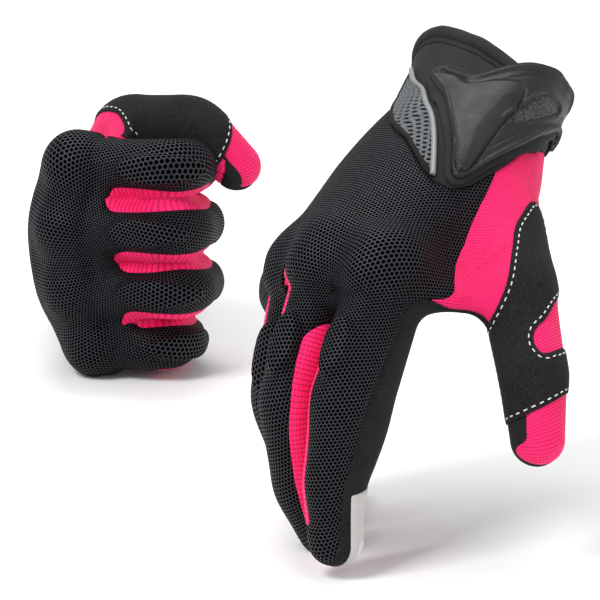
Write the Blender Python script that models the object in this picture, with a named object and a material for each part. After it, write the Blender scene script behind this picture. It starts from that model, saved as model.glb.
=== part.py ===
"""Pair of short riding gloves: one standing on its fingertips, one closed to a fist.

Both gloves are built by the same functions from the same hand sizes. Only the pose differs.
Hand frame, in millimetres: origin at the wrist centre, +X to the knuckles, +Y to the thumb
side, +Z out of the back of the hand. Angles around a tube start at the thumb side (0 degrees)
and turn through the back of the hand (90 degrees).
World frame, in metres: +Z up, origin at the open glove's wrist opening.
"""
import math

import bmesh
import bpy
import numpy as np
from mathutils import Matrix, Vector

MM = 0.001

# ---------------------------------------------------------------- driving sizes, millimetres
SKIN = 1.4                      # thickness of a sewn panel
SEAM = 0.4                      # half of the gap between two panels' edges
CUFF_LENGTH = 38.0              # wrist crease to the end of the cuff
BACK_GAP = 5.0                  # knuckle axis to a panel edge, on the back
PALM_GAP = 4.0                  # the same on the palm, for the fingers
GUARD_RADIUS = 14.8             # outer face of the knuckle guard, round the knuckle axis
WEB = 19.0                      # knuckle axis to the web between two fingers
THUMB_GAP = 4.6                 # thumb axis to a panel edge

# Each finger: knuckle centre, lengths of its three bones, half widths at knuckle, middle
# joint, end joint and tip.
FINGERS = {
    "index": {"knuckle": (90, 36.5, 0), "bones": (50, 30, 26), "half": (11.2, 11.4, 10.6, 9.2)},
    "middle": {"knuckle": (93, 12.2, 1.5), "bones": (52, 33, 26), "half": (11.2, 11.4, 10.8, 9.4)},
    "ring": {"knuckle": (89, -12.0, -1), "bones": (48, 31, 26), "half": (11.2, 11.2, 10.5, 9.2)},
    "little": {"knuckle": (81, -35.4, -7), "bones": (38, 24, 23), "half": (10.6, 10.5, 9.8, 8.6)},
}
FINGER_ORDER = ("index", "middle", "ring", "little")
BEND_LENGTH = (24.0, 17.0)      # length of cloth that bends at the middle and end joints
THUMB_ROOT = (22.0, 26.0, -12.0)
THUMB_BONES = (46.0, 36.0, 29.0)
THUMB_HALF = (17.0, 13.4, 12.0, 10.0)

STRAP_ANCHOR = -64.0            # place of the strap's sewn end, degrees round the cuff
CUFF_STEP = 7.0                 # degrees between the cuff's facets
CUFF_SLIT = (-78.0, 258.0)      # the cuff runs from the first angle to the second
SIDE_ARC = 24.0                 # half of the arc that the strip between two fingers covers
CLOSED_ARC = 3.0                # the same where there is no strip

# Hand tube sections: distance from the wrist, half widths to the thumb side, little side,
# back and palm.
SECTIONS = (
    (-44.0, 28.0, 31.0, 23.0, 22.0),
    (-18.0, 28.0, 30.0, 20.5, 20.0),
    (0.0, 30.0, 31.0, 19.5, 19.5),
    (45.0, 39.0, 39.0, 17.5, 19.0),
    (92.0, 48.2, 45.4, 14.0, 15.0),
)
ARCH = 0.0048                   # how strongly the hand arches from side to side
SQUARENESS = 2.6                # exponent of the hand's super-ellipse section

# ---------------------------------------------------------------- poses
OPEN = {
    "prefix": "open_",
    "wrist": (-11.6, -36.4, -18.1),
    "pointing": (-0.66, -0.67, -0.34),
    "thumb_side": (0.66, -0.75, 0.0),
    "wrist_bend": (8.0, 24.0),
    "palm_gap": 15.0,
    "guard": (-9.0, 34.0),
    "flex": {"index": (42, 16, 13), "middle": (46, 34, 20), "ring": (54, 38, 20),
             "little": (62, 38, 20)},
    "spread": {"index": 3.0, "middle": 1.0, "ring": -0.5, "little": -2.0},
    "thumb": {"turn": 52.0, "drop": 22.0, "roll": 40.0, "flex": (12.0, 16.0)},
}
FIST = {
    "prefix": "fist_",
    "wrist": (-157.4, 207.9, -120.5),
    "pointing": (-0.17, -0.976, 0.139),
    "thumb_side": (0.0, 0.14, 0.99),
    "wrist_bend": (0.0, -6.0),
    "palm_gap": 17.0,
    "guard": (-9.0, 70.0),
    "flex": {"index": (80, 96, 44), "middle": (81, 98, 42), "ring": (82, 98, 42),
             "little": (82, 98, 40)},
    "spread": {"index": 1.0, "middle": 0.0, "ring": -1.0, "little": -2.0},
    "thumb": {"turn": 48.5, "drop": 18.0, "roll": 46.0, "flex": (49.0, 60.0)},
}

# ---------------------------------------------------------------- materials
MESH_CLOTH = ("air_mesh", (0.012, 0.012, 0.014), 0.85, 0.0)
PINK_KNIT = ("pink_knit", (0.90, 0.03, 0.20), 0.75, 0.0)
SUEDE = ("black_suede", (0.010, 0.010, 0.011), 0.9, 0.0)
RUBBER = ("dark_rubber", (0.02, 0.02, 0.022), 0.45, 0.0)
GREY_MESH = ("grey_mesh", (0.16, 0.17, 0.18), 0.6, 0.0)
TOUCH_CLOTH = ("touch_cloth", (0.45, 0.44, 0.43), 0.6, 0.0)
HOOK_TAPE = ("hook_tape", (0.015, 0.015, 0.015), 0.95, 0.0)


def clear_scene():
    for thing in list(bpy.data.objects):
        bpy.data.objects.remove(thing, do_unlink=True)


def material(spec):
    name, colour, roughness, metallic = spec
    found = bpy.data.materials.get(name)
    if found:
        return found
    made = bpy.data.materials.new(name)
    made.use_nodes = True
    shader = made.node_tree.nodes["Principled BSDF"]
    shader.inputs["Base Color"].default_value = (*colour, 1.0)
    shader.inputs["Roughness"].default_value = roughness
    shader.inputs["Metallic"].default_value = metallic
    return made


def unit(vector):
    vector = np.asarray(vector, dtype=float)
    return vector / np.linalg.norm(vector)


def ease(value):
    """Smooth step from 0 to 1."""
    value = min(max(value, 0.0), 1.0)
    return value * value * (3.0 - 2.0 * value)


def signed_power(value, power):
    return math.copysign(abs(value) ** power, value)


class Tube:
    """A tube along a bending centre line, with an oval section that can change."""

    STEP = 0.5

    def __init__(self, start, forward, back, bends, length, half, flat=1.0, cap=9.0):
        # bends: (distance, degrees, bend length), each turning away from the back.
        # half: half widths at (distance, half width) pairs. flat: depth over width.
        self.length, self.flat, self.cap = length, flat, cap
        self.half = half
        forward, back = unit(forward), unit(back)
        self.side = np.cross(back, forward)
        count = int(length / self.STEP) + 2
        point = np.asarray(start, dtype=float)
        self.points, self.forwards, self.backs = [], [], []
        for index in range(count):
            distance = index * self.STEP
            angle = sum(math.radians(degrees) * ease((distance - at) / span + 0.5)
                        for at, degrees, span in bends)
            now = math.cos(angle) * forward - math.sin(angle) * back
            up = math.sin(angle) * forward + math.cos(angle) * back
            self.points.append(point.copy())
            self.forwards.append(now)
            self.backs.append(up)
            point = point + self.STEP * now

    def frame(self, distance):
        place = min(max(distance / self.STEP, 0.0), len(self.points) - 1.001)
        low = int(place)
        part = place - low
        mix = [(1 - part) * data[low] + part * data[low + 1]
               for data in (self.points, self.forwards, self.backs)]
        return mix[0], unit(mix[1]), unit(mix[2])

    def half_width(self, distance):
        stops, values = zip(*self.half)
        width = float(np.interp(distance, stops, values))
        into_cap = (distance - (self.length - self.cap)) / self.cap
        if into_cap > 0:
            width *= math.sqrt(max(1.0 - min(into_cap, 1.0) ** 2, 0.0))
        return width

    def surface(self, distance, degrees, lift=0.0):
        centre, _, back = self.frame(distance)
        width = self.half_width(distance) + lift
        angle = math.radians(degrees)
        return centre + width * (math.cos(angle) * self.side + self.flat * math.sin(angle) * back)


class Hand:
    """The flat tube of the hand and the cuff, with a bend at the wrist."""

    def __init__(self, wrist_bend):
        self.extension, self.deviation = (math.radians(value) for value in wrist_bend)

    def sizes(self, along):
        columns = list(zip(*SECTIONS))
        return [float(np.interp(along, columns[0], column)) for column in columns[1:]]

    def knuckle_line(self, across):
        """Distance from the wrist to the knuckle axis, at a place across the hand."""
        return 90.8 - 0.0042 * (across - 10.0) ** 2

    def section(self, along, degrees, lift):
        thumb, little, back, palm = self.sizes(along)
        angle = math.radians(degrees)
        power = 2.0 / SQUARENESS
        wide = (thumb if math.cos(angle) > 0 else little) + lift
        tall = (back if math.sin(angle) > 0 else palm) + lift
        across = signed_power(math.cos(angle), power) * wide
        height = signed_power(math.sin(angle), power) * tall
        height += min(max(along / 90.0, 0.0), 1.0) * (1.5 - ARCH * (across - 12.0) ** 2)
        return across, height

    def centre(self, along):
        """Centre line and axes, turning smoothly between 12 mm either side of the wrist."""
        turn = ease((12.0 - along) / 24.0)
        pitch, yaw = self.extension * turn, self.deviation * turn
        forward = np.array([math.cos(pitch) * math.cos(yaw), math.sin(yaw), -math.sin(pitch)])
        side = unit(np.cross((0.0, 0.0, 1.0), forward))
        return unit(forward), side, np.cross(forward, side)

    def place(self, along, across, height):
        point = np.array([max(along, 12.0), 0.0, 0.0])
        if along < 12.0:
            steps = max(int((12.0 - along) / 1.0), 1)
            size = (12.0 - along) / steps
            for index in range(steps):
                point = point - size * self.centre(12.0 - (index + 0.5) * size)[0]
        _, side, up = self.centre(along)
        return point + across * side + height * up

    def surface(self, along, degrees, lift=0.0):
        return self.place(along, *self.section(along, degrees, lift))

    def reach(self, share, degrees, gap, start=0.0, lift=0.0):
        """A point at a share of the way from the start to the slanted knuckle line."""
        across, _ = self.section(85.0, degrees, lift)
        end = self.knuckle_line(across) - gap
        return self.surface(start + share * (end - start), degrees, lift)

    def holds(self, point, margin):
        """True where a point in front of the wrist is inside the hand tube, grown by a margin."""
        along = point[0]
        if along > self.knuckle_line(point[1]):
            return False
        thumb, little, back, palm = self.sizes(along)
        lowered = point[2] - min(max(along / 90.0, 0.0), 1.0) * (
            1.5 - ARCH * (point[1] - 12.0) ** 2)
        across = abs(point[1]) / ((thumb if point[1] > 0 else little) + margin)
        height = abs(lowered) / ((back if lowered > 0 else palm) + margin)
        return across ** SQUARENESS + height ** SQUARENESS < 1.0


class Glove:
    """All panels of one glove, as grids of points in the hand frame."""

    def __init__(self, pose):
        self.pose = pose
        self.hand = Hand(pose["wrist_bend"])
        self.tubes = {name: self.finger_tube(name) for name in FINGER_ORDER}
        self.thumb = self.thumb_tube()
        forward = unit(pose["pointing"])
        side = np.asarray(pose["thumb_side"], dtype=float)
        side = unit(side - forward * side.dot(forward))
        self.axes = np.array([forward, side, np.cross(forward, side)]).T
        self.make_bodies()

    def finger_tube(self, name):
        size = FINGERS[name]
        turn = math.radians(self.pose["spread"][name])
        flat = np.array([math.cos(turn), math.sin(turn), 0.0])
        up = np.array([0.0, 0.0, 1.0])
        knuckle, middle, end = self.pose["flex"][name]
        first = math.radians(knuckle)
        forward = math.cos(first) * flat - math.sin(first) * up
        back = math.sin(first) * flat + math.cos(first) * up
        bones = size["bones"]
        stops = (0.0, bones[0], bones[0] + bones[1], sum(bones) + 4.0)
        bends = ((stops[1], middle, BEND_LENGTH[0]), (stops[2], end, BEND_LENGTH[1]))
        return Tube(size["knuckle"], forward, back, bends, stops[3], list(zip(stops, size["half"])),
                    flat=1.06)

    def thumb_tube(self):
        shape = self.pose["thumb"]
        turn, drop, roll = (math.radians(shape[key]) for key in ("turn", "drop", "roll"))
        forward = np.array([math.cos(drop) * math.cos(turn), math.cos(drop) * math.sin(turn),
                            -math.sin(drop)])
        level = unit(np.array([0.0, 1.0, 0.0]) - forward * forward[1])
        back = math.cos(roll) * level + math.sin(roll) * np.cross(forward, level)
        stops = (0.0, THUMB_BONES[0], THUMB_BONES[0] + THUMB_BONES[1], sum(THUMB_BONES) + 4.0)
        bends = ((stops[1], shape["flex"][0], 14.0), (stops[2], shape["flex"][1], 18.0))
        return Tube(THUMB_ROOT, forward, back, bends, stops[3], list(zip(stops, THUMB_HALF)),
                    cap=10.0)

    def make_bodies(self):
        """An empty at the wrist, and one on the axis of each moving body under it."""
        prefix = self.pose["prefix"]
        wrist = bpy.data.objects.new(prefix + "wrist", None)
        wrist.location = Vector(self.pose["wrist"]) * MM
        wrist.rotation_euler = Matrix(self.axes.tolist()).to_euler()
        bpy.context.collection.objects.link(wrist)
        inner = 0.5 * (np.array(FINGERS["index"]["knuckle"], float)
                       + np.array(FINGERS["little"]["knuckle"], float))
        places = {
            "hand": np.zeros(3),
            "fingers": inner + np.array([2.0, 0.0, 1.0]),
            "thumb": self.thumb.frame(THUMB_BONES[0])[0],
            "strap": self.hand.surface(-18.0, STRAP_ANCHOR, 3.7),
        }
        self.bodies = {}
        for name, place in places.items():
            empty = bpy.data.objects.new(prefix + name + "_axis", None)
            empty.location = Vector(place) * MM
            empty.parent = wrist
            bpy.context.collection.objects.link(empty)
            self.bodies[name] = (empty, place)

    def sheet(self, name, body, rows, spec, thickness=SKIN):
        """One panel: a grid of points thickened inwards. Its rows run so that it faces out."""
        empty, origin = self.bodies[body]
        rows = [[np.asarray(point) - origin for point in row] for row in rows]
        columns = len(rows[0])
        points = [point * MM for row in rows for point in row]
        faces = []
        for row in range(len(rows) - 1):
            for column in range(columns - 1):
                beside = column + 1
                faces.append((row * columns + column, row * columns + beside,
                              (row + 1) * columns + beside, (row + 1) * columns + column))
        mesh = bpy.data.meshes.new(self.pose["prefix"] + name)
        mesh.from_pydata([tuple(point) for point in points], [], faces)
        merge_poles(mesh)
        mesh.materials.append(material(spec))
        mesh.shade_smooth()
        panel = bpy.data.objects.new(self.pose["prefix"] + name, mesh)
        panel.parent = empty
        thick = panel.modifiers.new("thickness", "SOLIDIFY")
        thick.thickness = thickness * MM
        thick.offset = -1.0
        bpy.context.collection.objects.link(panel)
        return panel


def merge_poles(mesh):
    """Join the points of a row that has closed to one point, and drop the empty faces."""
    work = bmesh.new()
    work.from_mesh(mesh)
    bmesh.ops.remove_doubles(work, verts=work.verts, dist=0.00002)
    bmesh.ops.dissolve_degenerate(work, dist=0.000005, edges=work.edges)
    work.to_mesh(mesh)
    work.free()


# ---------------------------------------------------------------- fingers
def seam_angle(width):
    """The angle that leaves half a seam's gap on a tube of this half width."""
    return math.degrees(math.asin(min(SEAM / max(width, SEAM), 0.9)))


def strip_end(tube):
    """Where the strip between two fingers ends, short of the fingertip."""
    return tube.length - 15.0


def side_arc(tube, distance):
    if distance < WEB:
        return CLOSED_ARC
    past = (distance - strip_end(tube)) / 7.0
    return SIDE_ARC + (CLOSED_ARC - SIDE_ARC) * ease(past)


def finger_stops(tube, start):
    """Distances along a finger of its rows of points, closer together at the tip."""
    along = list(np.linspace(WEB, strip_end(tube), 8))
    cap = [tube.length - left for left in (9.0, 6.0, 3.2, 1.2, 0.0)]
    return [start, 11.0, WEB - 0.8] + along + cap


def tube_rows(tube, stops, edges, columns, lift=0.0):
    rows = []
    for distance in stops:
        low, high = edges(distance)
        angles = np.linspace(low, high, columns)
        rows.append([tube.surface(distance, angle, lift) for angle in angles])
    return rows


def finger_panels(glove, name):
    tube = glove.tubes[name]

    def arc(distance):
        return side_arc(tube, distance), seam_angle(tube.half_width(distance))

    def back_edges(distance):
        side, gap = arc(distance)
        return side + gap, 180.0 - side - gap

    def palm_edges(distance):
        side, gap = arc(distance)
        outer = side - gap if name == "index" else -side - gap
        return -180.0 + side + gap, min(outer, side)

    glove.sheet(name + "_back", "fingers",
                tube_rows(tube, finger_stops(tube, BACK_GAP), back_edges, 7), MESH_CLOTH)
    palm_stops = finger_stops(tube, PALM_GAP)[:-2]
    columns = 9 if name == "index" else 7
    glove.sheet(name + "_palm", "fingers", tube_rows(tube, palm_stops, palm_edges, columns), SUEDE)


def between_fingers(glove, first, second):
    """One strip: down the side of a finger, round the web and up the next finger's side."""
    sides = []
    for name, middle, turn in ((first, 180.0, -1.0), (second, 0.0, 1.0)):
        tube = glove.tubes[name]
        stops = [WEB + 4.0] + finger_stops(tube, BACK_GAP)[4:-5]
        rows = []
        for distance in stops:
            half = side_arc(tube, distance) - seam_angle(tube.half_width(distance))
            rows.append([tube.surface(distance, middle + turn * share * half)
                         for share in (-1.0, 0.0, 1.0)])
        sides.append(rows)
    rows, more = sides
    first_tube = glove.tubes[first]
    forward = first_tube.frame(WEB)[1]
    web = []
    for turn in (45.0, 90.0, 135.0):
        angle = math.radians(turn)
        row = []
        for column in range(3):
            start, end = rows[0][column], more[0][column]
            narrow = 1.0 - 0.4 * math.sin(angle)
            start = rows[0][1] + narrow * (start - rows[0][1])
            end = more[0][1] + narrow * (end - more[0][1])
            middle = 0.5 * (start + end)
            deep = max(0.5 * abs(np.dot(start - end, first_tube.side)), 0.7)
            row.append(middle + math.cos(angle) * (start - middle)
                       - math.sin(angle) * deep * forward)
        web.append(row)
    glove.sheet(first + "_" + second + "_strip", "fingers", rows[::-1] + web + more, PINK_KNIT,
                thickness=1.2)


def little_side(glove):
    tube = glove.tubes["little"]
    stops = [WEB + 3.0] + finger_stops(tube, BACK_GAP)[4:-5]

    def edges(distance):
        half = side_arc(tube, distance) - seam_angle(tube.half_width(distance))
        return 180.0 - half, 180.0 + half

    glove.sheet("little_side", "fingers", tube_rows(tube, stops, edges, 3), PINK_KNIT)


def touch_tip(glove):
    tube = glove.tubes["index"]
    stops = [tube.length - left for left in (24.0, 18.0, 12.0, 9.0, 6.0)]
    glove.sheet("index_touch_tip", "fingers",
                tube_rows(tube, stops, lambda _: (-125.0, -15.0), 6, lift=1.0), TOUCH_CLOTH,
                thickness=0.6)


# ---------------------------------------------------------------- thumb
def thumb_panels(glove):
    tube, hand = glove.thumb, glove.hand
    axis = THUMB_BONES[0]

    def root(angle):
        """Where the tube's line at this angle comes out of the hand."""
        distance = -8.0
        while hand.holds(tube.surface(distance, angle), 2.6):
            distance += 0.5
        return distance

    def base_rows(low, high):
        columns = [(angle, root(angle)) for angle in np.linspace(low, high, 10)]
        rows = []
        for share in np.linspace(0.0, 1.0, 5):
            rows.append([tube.surface(start + share * (axis - THUMB_GAP - start), angle)
                         for angle, start in columns])
        return rows

    glove.sheet("thumb_base_back", "hand", base_rows(1.5, 178.5), PINK_KNIT)
    glove.sheet("thumb_base_palm", "hand", base_rows(-178.5, -1.5), SUEDE)
    stops = list(np.linspace(axis + THUMB_GAP, tube.length - 10.0, 8))
    stops += [tube.length - left for left in (6.5, 3.4, 1.2, 0.0)]

    def back_edges(distance):
        gap = seam_angle(tube.half_width(distance))
        return gap, 180.0 - gap

    def palm_edges(distance):
        gap = seam_angle(tube.half_width(distance))
        return -180.0 + gap, -gap

    glove.sheet("thumb_back", "thumb", tube_rows(tube, stops, back_edges, 8), PINK_KNIT)
    glove.sheet("thumb_palm", "thumb", tube_rows(tube, stops[:-2], palm_edges, 8), SUEDE)
    patch = list(np.linspace(axis + THUMB_GAP + 1.0, axis + 42.0, 7))
    glove.sheet("thumb_patch", "thumb",
                tube_rows(tube, patch, lambda _: (30.0, 150.0), 8, lift=1.2), SUEDE, thickness=0.7)


# ---------------------------------------------------------------- hand and cuff
def hand_rows(glove, shares, edges, columns, gap, lift=0.0):
    """Rows across the hand; the share runs from the wrist to the knuckle line."""
    rows = []
    for share in shares:
        low, high = edges(share)
        rows.append([glove.hand.reach(share, angle, gap, -2.0, lift)
                     for angle in np.linspace(low, high, columns)])
    return rows


def guard_rows(glove):
    """An arched strip over the row of knuckles, turned round their centres."""
    low, high = glove.pose["guard"]
    knuckles = [FINGERS[name]["knuckle"] for name in reversed(FINGER_ORDER)]
    along, places, heights = zip(*knuckles)
    rows = []
    for turn in np.linspace(low, high, 2 + int((high - low) / 14.0)):
        angle = math.radians(turn)
        row = []
        for across in np.linspace(46.0, -43.0, 13):
            centre = [float(np.interp(across, places, values)) for values in (along, heights)]
            row.append((centre[0] + GUARD_RADIUS * math.sin(angle), across,
                        centre[1] + GUARD_RADIUS * math.cos(angle)))
        rows.append(row)
    return rows


def cuff_rows(glove, along, low, high, lift=0.0):
    """Rows round the cuff; their points lie on every facet line between the two angles."""
    angles = np.arange(low, high + 0.1, CUFF_STEP)
    return [[glove.hand.surface(place, angle, lift) for angle in angles] for place in along]


def hand_panels(glove):
    shares = np.linspace(0.0, 1.0, 11)
    back_low, back_high, back_columns = 26.0, 179.0, 13
    glove.sheet("back_panel", "hand",
                hand_rows(glove, shares, lambda _: (back_low, back_high), back_columns, BACK_GAP),
                MESH_CLOTH)
    glove.sheet("knuckle_guard", "hand", guard_rows(glove), MESH_CLOTH,
                thickness=1.2)
    glove.sheet("side_gusset", "hand",
                hand_rows(glove, shares, lambda _: (-13.0, 22.5), 6, BACK_GAP), PINK_KNIT)

    def palm_edges(share):
        return -179.0, -52.0 if share < 0.75 else -16.5

    rows = hand_rows(glove, shares, palm_edges, 12, glove.pose["palm_gap"])
    glove.sheet("palm_panel", "hand", rows, SUEDE)


def cuff(glove):
    low, high = CUFF_SLIT
    band = (-CUFF_LENGTH, -29.0, -20.0, -12.0, -3.6)
    glove.sheet("cuff_band", "hand", cuff_rows(glove, band, low, high), SUEDE, thickness=1.8)
    glove.sheet("cuff_binding", "hand",
                cuff_rows(glove, (-CUFF_LENGTH - 4.0, -CUFF_LENGTH - 0.5), low, high, lift=1.0),
                SUEDE, thickness=3.4)

    def lattice(count):
        return low + count * CUFF_STEP

    vent_along = (-34.0, -26.0, -17.0, -8.0, 2.0)
    glove.sheet("vent_panel", "hand",
                cuff_rows(glove, vent_along, lattice(22), lattice(28), lift=1.3), GREY_MESH,
                thickness=0.8)
    rows = [[glove.hand.surface(place, angle, 1.7) for angle in (lattice(21), lattice(21) + 4.0)]
            for place in vent_along]
    glove.sheet("vent_piping", "hand", rows, GREY_MESH, thickness=1.2)
    under = (-27.0, -18.0, -9.0)
    glove.sheet("loop_patch", "hand", cuff_rows(glove, under, lattice(11), lattice(17), lift=1.1),
                HOOK_TAPE, thickness=0.6)
    glove.sheet("hook_patch", "strap", cuff_rows(glove, under, lattice(9), lattice(17), lift=2.1),
                HOOK_TAPE, thickness=0.6)
    glove.sheet("strap_band", "strap",
                cuff_rows(glove, (-31.0, -18.0, -5.0), STRAP_ANCHOR, lattice(18), lift=3.7),
                SUEDE, thickness=1.2)
    glove.sheet("strap_tab", "strap",
                cuff_rows(glove, (-34.0, -26.0, -18.0, -10.0, -2.0), lattice(7), lattice(20),
                          lift=6.4), RUBBER, thickness=2.3)


def build_glove(pose):
    glove = Glove(pose)
    hand_panels(glove)
    cuff(glove)
    for name in FINGER_ORDER:
        finger_panels(glove, name)
    for first, second in zip(FINGER_ORDER, FINGER_ORDER[1:]):
        between_fingers(glove, first, second)
    little_side(glove)
    touch_tip(glove)
    thumb_panels(glove)


def main():
    clear_scene()
    build_glove(OPEN)
    build_glove(FIST)


main()
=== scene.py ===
"""Finished surfaces for the pair of riding gloves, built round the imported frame.

Hand frame, in millimetres: origin at the wrist centre, +X to the knuckles, +Y to the thumb
side, +Z out of the back of the hand. A smooth body is made for each glove from its bones,
then cut along its seams into panels, which are thickened and pulled in at their edges.
"""

import math

import bpy
import numpy as np
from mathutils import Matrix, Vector

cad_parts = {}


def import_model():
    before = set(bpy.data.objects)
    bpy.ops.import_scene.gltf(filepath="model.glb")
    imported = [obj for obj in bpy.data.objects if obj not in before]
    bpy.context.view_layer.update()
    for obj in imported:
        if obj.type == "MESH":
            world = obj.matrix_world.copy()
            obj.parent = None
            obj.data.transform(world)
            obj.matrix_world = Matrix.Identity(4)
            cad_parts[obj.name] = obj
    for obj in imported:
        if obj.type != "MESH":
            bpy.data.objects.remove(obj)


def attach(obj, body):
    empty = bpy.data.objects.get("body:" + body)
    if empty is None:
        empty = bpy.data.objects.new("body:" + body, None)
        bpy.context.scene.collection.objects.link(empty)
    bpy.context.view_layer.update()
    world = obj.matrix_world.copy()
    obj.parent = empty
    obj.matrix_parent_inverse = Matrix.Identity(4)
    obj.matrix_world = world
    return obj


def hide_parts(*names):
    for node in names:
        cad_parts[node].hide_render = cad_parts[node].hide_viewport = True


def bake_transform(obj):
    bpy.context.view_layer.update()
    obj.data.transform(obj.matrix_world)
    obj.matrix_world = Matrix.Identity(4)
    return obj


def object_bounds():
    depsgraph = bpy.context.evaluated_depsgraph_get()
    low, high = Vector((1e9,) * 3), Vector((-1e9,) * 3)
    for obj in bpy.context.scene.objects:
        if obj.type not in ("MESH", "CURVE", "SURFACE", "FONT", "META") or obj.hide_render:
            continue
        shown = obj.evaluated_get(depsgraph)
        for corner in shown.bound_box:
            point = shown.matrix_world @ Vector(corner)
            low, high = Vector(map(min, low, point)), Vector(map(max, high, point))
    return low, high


MM = 0.001

# ---------------------------------------------------------------- hand sizes, millimetres
FINGERS = {
    "index": {"knuckle": (90, 36.5, 0), "bones": (50, 30, 26), "half": (11.2, 11.4, 10.6, 9.2)},
    "middle": {"knuckle": (93, 12.2, 1.5), "bones": (52, 33, 26), "half": (11.2, 11.4, 10.8, 9.4)},
    "ring": {"knuckle": (89, -12.0, -1), "bones": (48, 31, 26), "half": (11.2, 11.2, 10.5, 9.2)},
    "little": {"knuckle": (81, -35.4, -7), "bones": (38, 24, 23), "half": (10.6, 10.5, 9.8, 8.6)},
}
FINGER_ORDER = ("index", "middle", "ring", "little")
BEND_LENGTH = (24.0, 17.0)
THUMB_BONES = (46.0, 36.0, 29.0)
THUMB_HALF = (17.0, 13.4, 12.0, 9.0)
WEB = 19.0                      # knuckle axis to the web between two fingers
# Along the hand: place, half width to the thumb and to the little finger, height of the back
# and of the palm.
SECTIONS = (
    (-44.0, 28.0, 31.0, 23.0, 22.0),
    (-18.0, 28.0, 30.0, 20.5, 20.0),
    (0.0, 30.0, 31.0, 19.5, 19.5),
    (45.0, 39.0, 39.0, 17.5, 19.0),
    (92.0, 48.2, 45.4, 14.0, 15.0),
)
SQUARENESS = 2.6                # power of the hand's rounded section
ARCH = 0.0048                   # how far the back of the hand falls away from the middle finger
HAND_LENGTH = 90.0              # wrist to knuckles, over which the arch builds up
BEND_START, BEND_SPAN = 12.0, 24.0      # where the wrist's bend starts, and its length
KNUCKLE_DOME = (15.5, 12.6, 11.4)       # half length, width and height of a knuckle

# ---------------------------------------------------------------- finish sizes, millimetres
VOXEL = 1.15                    # grid of the smooth body
CLOTH = 1.2                     # thickness of a panel
SEAM_DEPTH = 0.55               # how far a seam pulls a panel in
SEAM_WIDTH = 1.3
TOUCH_GAP = 2.2                 # room between two parts of a glove that press together
ROUND = 0.55                    # millimetres round the wrist for each degree
THUMB_ROUND = 0.227             # the same, round the thumb
FINGER_ROUND = 10.6             # millimetres round a finger for each radian
LOOSE = 60                      # loose bits of a panel with fewer faces are dropped

# Seams, as places and the seam's position there.
HAND_EDGE = ((26.0, 41.0, 56.0, 72.0, 86.0), (5.5, 0.4, -6.0, -9.5, -12.0))
INDEX_EDGE = ((20.0, 40.0, 60.0, 80.0, 110.0), (-6.0, -3.0, 1.0, 5.0, 7.0))
CUFF_EDGE = ((-180, -120, -60, -30, -8, 4, 9, 16, 28, 45, 58, 69, 90, 110, 134, 160, 180),
             (4, 0, -2, -3, 2, 9, 24, 40, 48, 50, 48, 44, 33, 22, 10, 5, 4))
CUFF_END = ((-180, -120, -60, -30, -10, 5, 20, 32, 45, 63, 80, 97, 114, 132, 160, 180),
            (-38, -37, -35, -33.5, -30, -25, -18.5, -13.5, -12, -17, -23, -32, -37, -39, -39, -38))

# The two poses. Angles are in degrees and sizes in millimetres.
#   wrist, pointing, thumb_side: place of the wrist and directions of the hand, in the world
#   wrist_bend: extension and sideways bend of the wrist
#   flex, spread: bend of each finger at its three joints, and its sideways angle
#   cup, arch, narrow: moved knuckles, a deeper arch, and less width on the little finger's side
#   merge, slot: how far neighbouring fingers melt together, and the slot between them
#   bay, patch: depth of the bay in the thumb patch, and how much later the patch starts
#   under: fuller palm side of the index finger
#   strips, starts, taper: half widths of the five strips beside the fingers, where they start,
#   and the place and shares by which they narrow; level lines the starts up with the knuckles
#   shorten: what is taken off each first finger bone
#   thumb: root, direction (turn and drop), roll about its length, and bend at its two joints

OPEN = {
    "prefix": "open_",
    "wrist": (-11.6, -36.4, -18.1),
    "pointing": (-0.66, -0.67, -0.34),
    "thumb_side": (0.66, -0.75, 0.0),
    "wrist_bend": (8.0, 24.0),
    "flex": {"index": (42, 16, 13), "middle": (46, 34, 20), "ring": (54, 38, 20),
             "little": (62, 38, 20)},
    "spread": {"index": 3.0, "middle": 1.0, "ring": -0.5, "little": -2.0},
    "cup": {"index": (0, 0, 0), "middle": (0, 0, -1.5), "ring": (-2, 3, -9),
            "little": (-4, 8, -20)},
    "arch": 0.0137,
    "narrow": (0.0, 0.0, 0.0, 3.5, 8.0),
    "merge": 1.2,
    "slot": 0.85,
    "bay": 1.0,
    "under": 1.1,
    "taper": (24.0, 0.0, 0.0, 0.5, 0.55, 0.0),
    "level": 0.0,
    "shorten": {"index": 0.0, "middle": 0.0, "ring": 0.0, "little": 0.0},
    "patch": 0.0,
    "strips": (4.0, 9.8, 10.0, 10.0, 4.5),
    "starts": (30.0, 22.0, 4.0, 6.0, 20.0),
    "thumb": {"root": (22.0, 26.0, -12.0), "turn": 49.2, "drop": 22.0, "roll": 40.0,
              "flex": (12.0, 16.0)},
}
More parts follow.
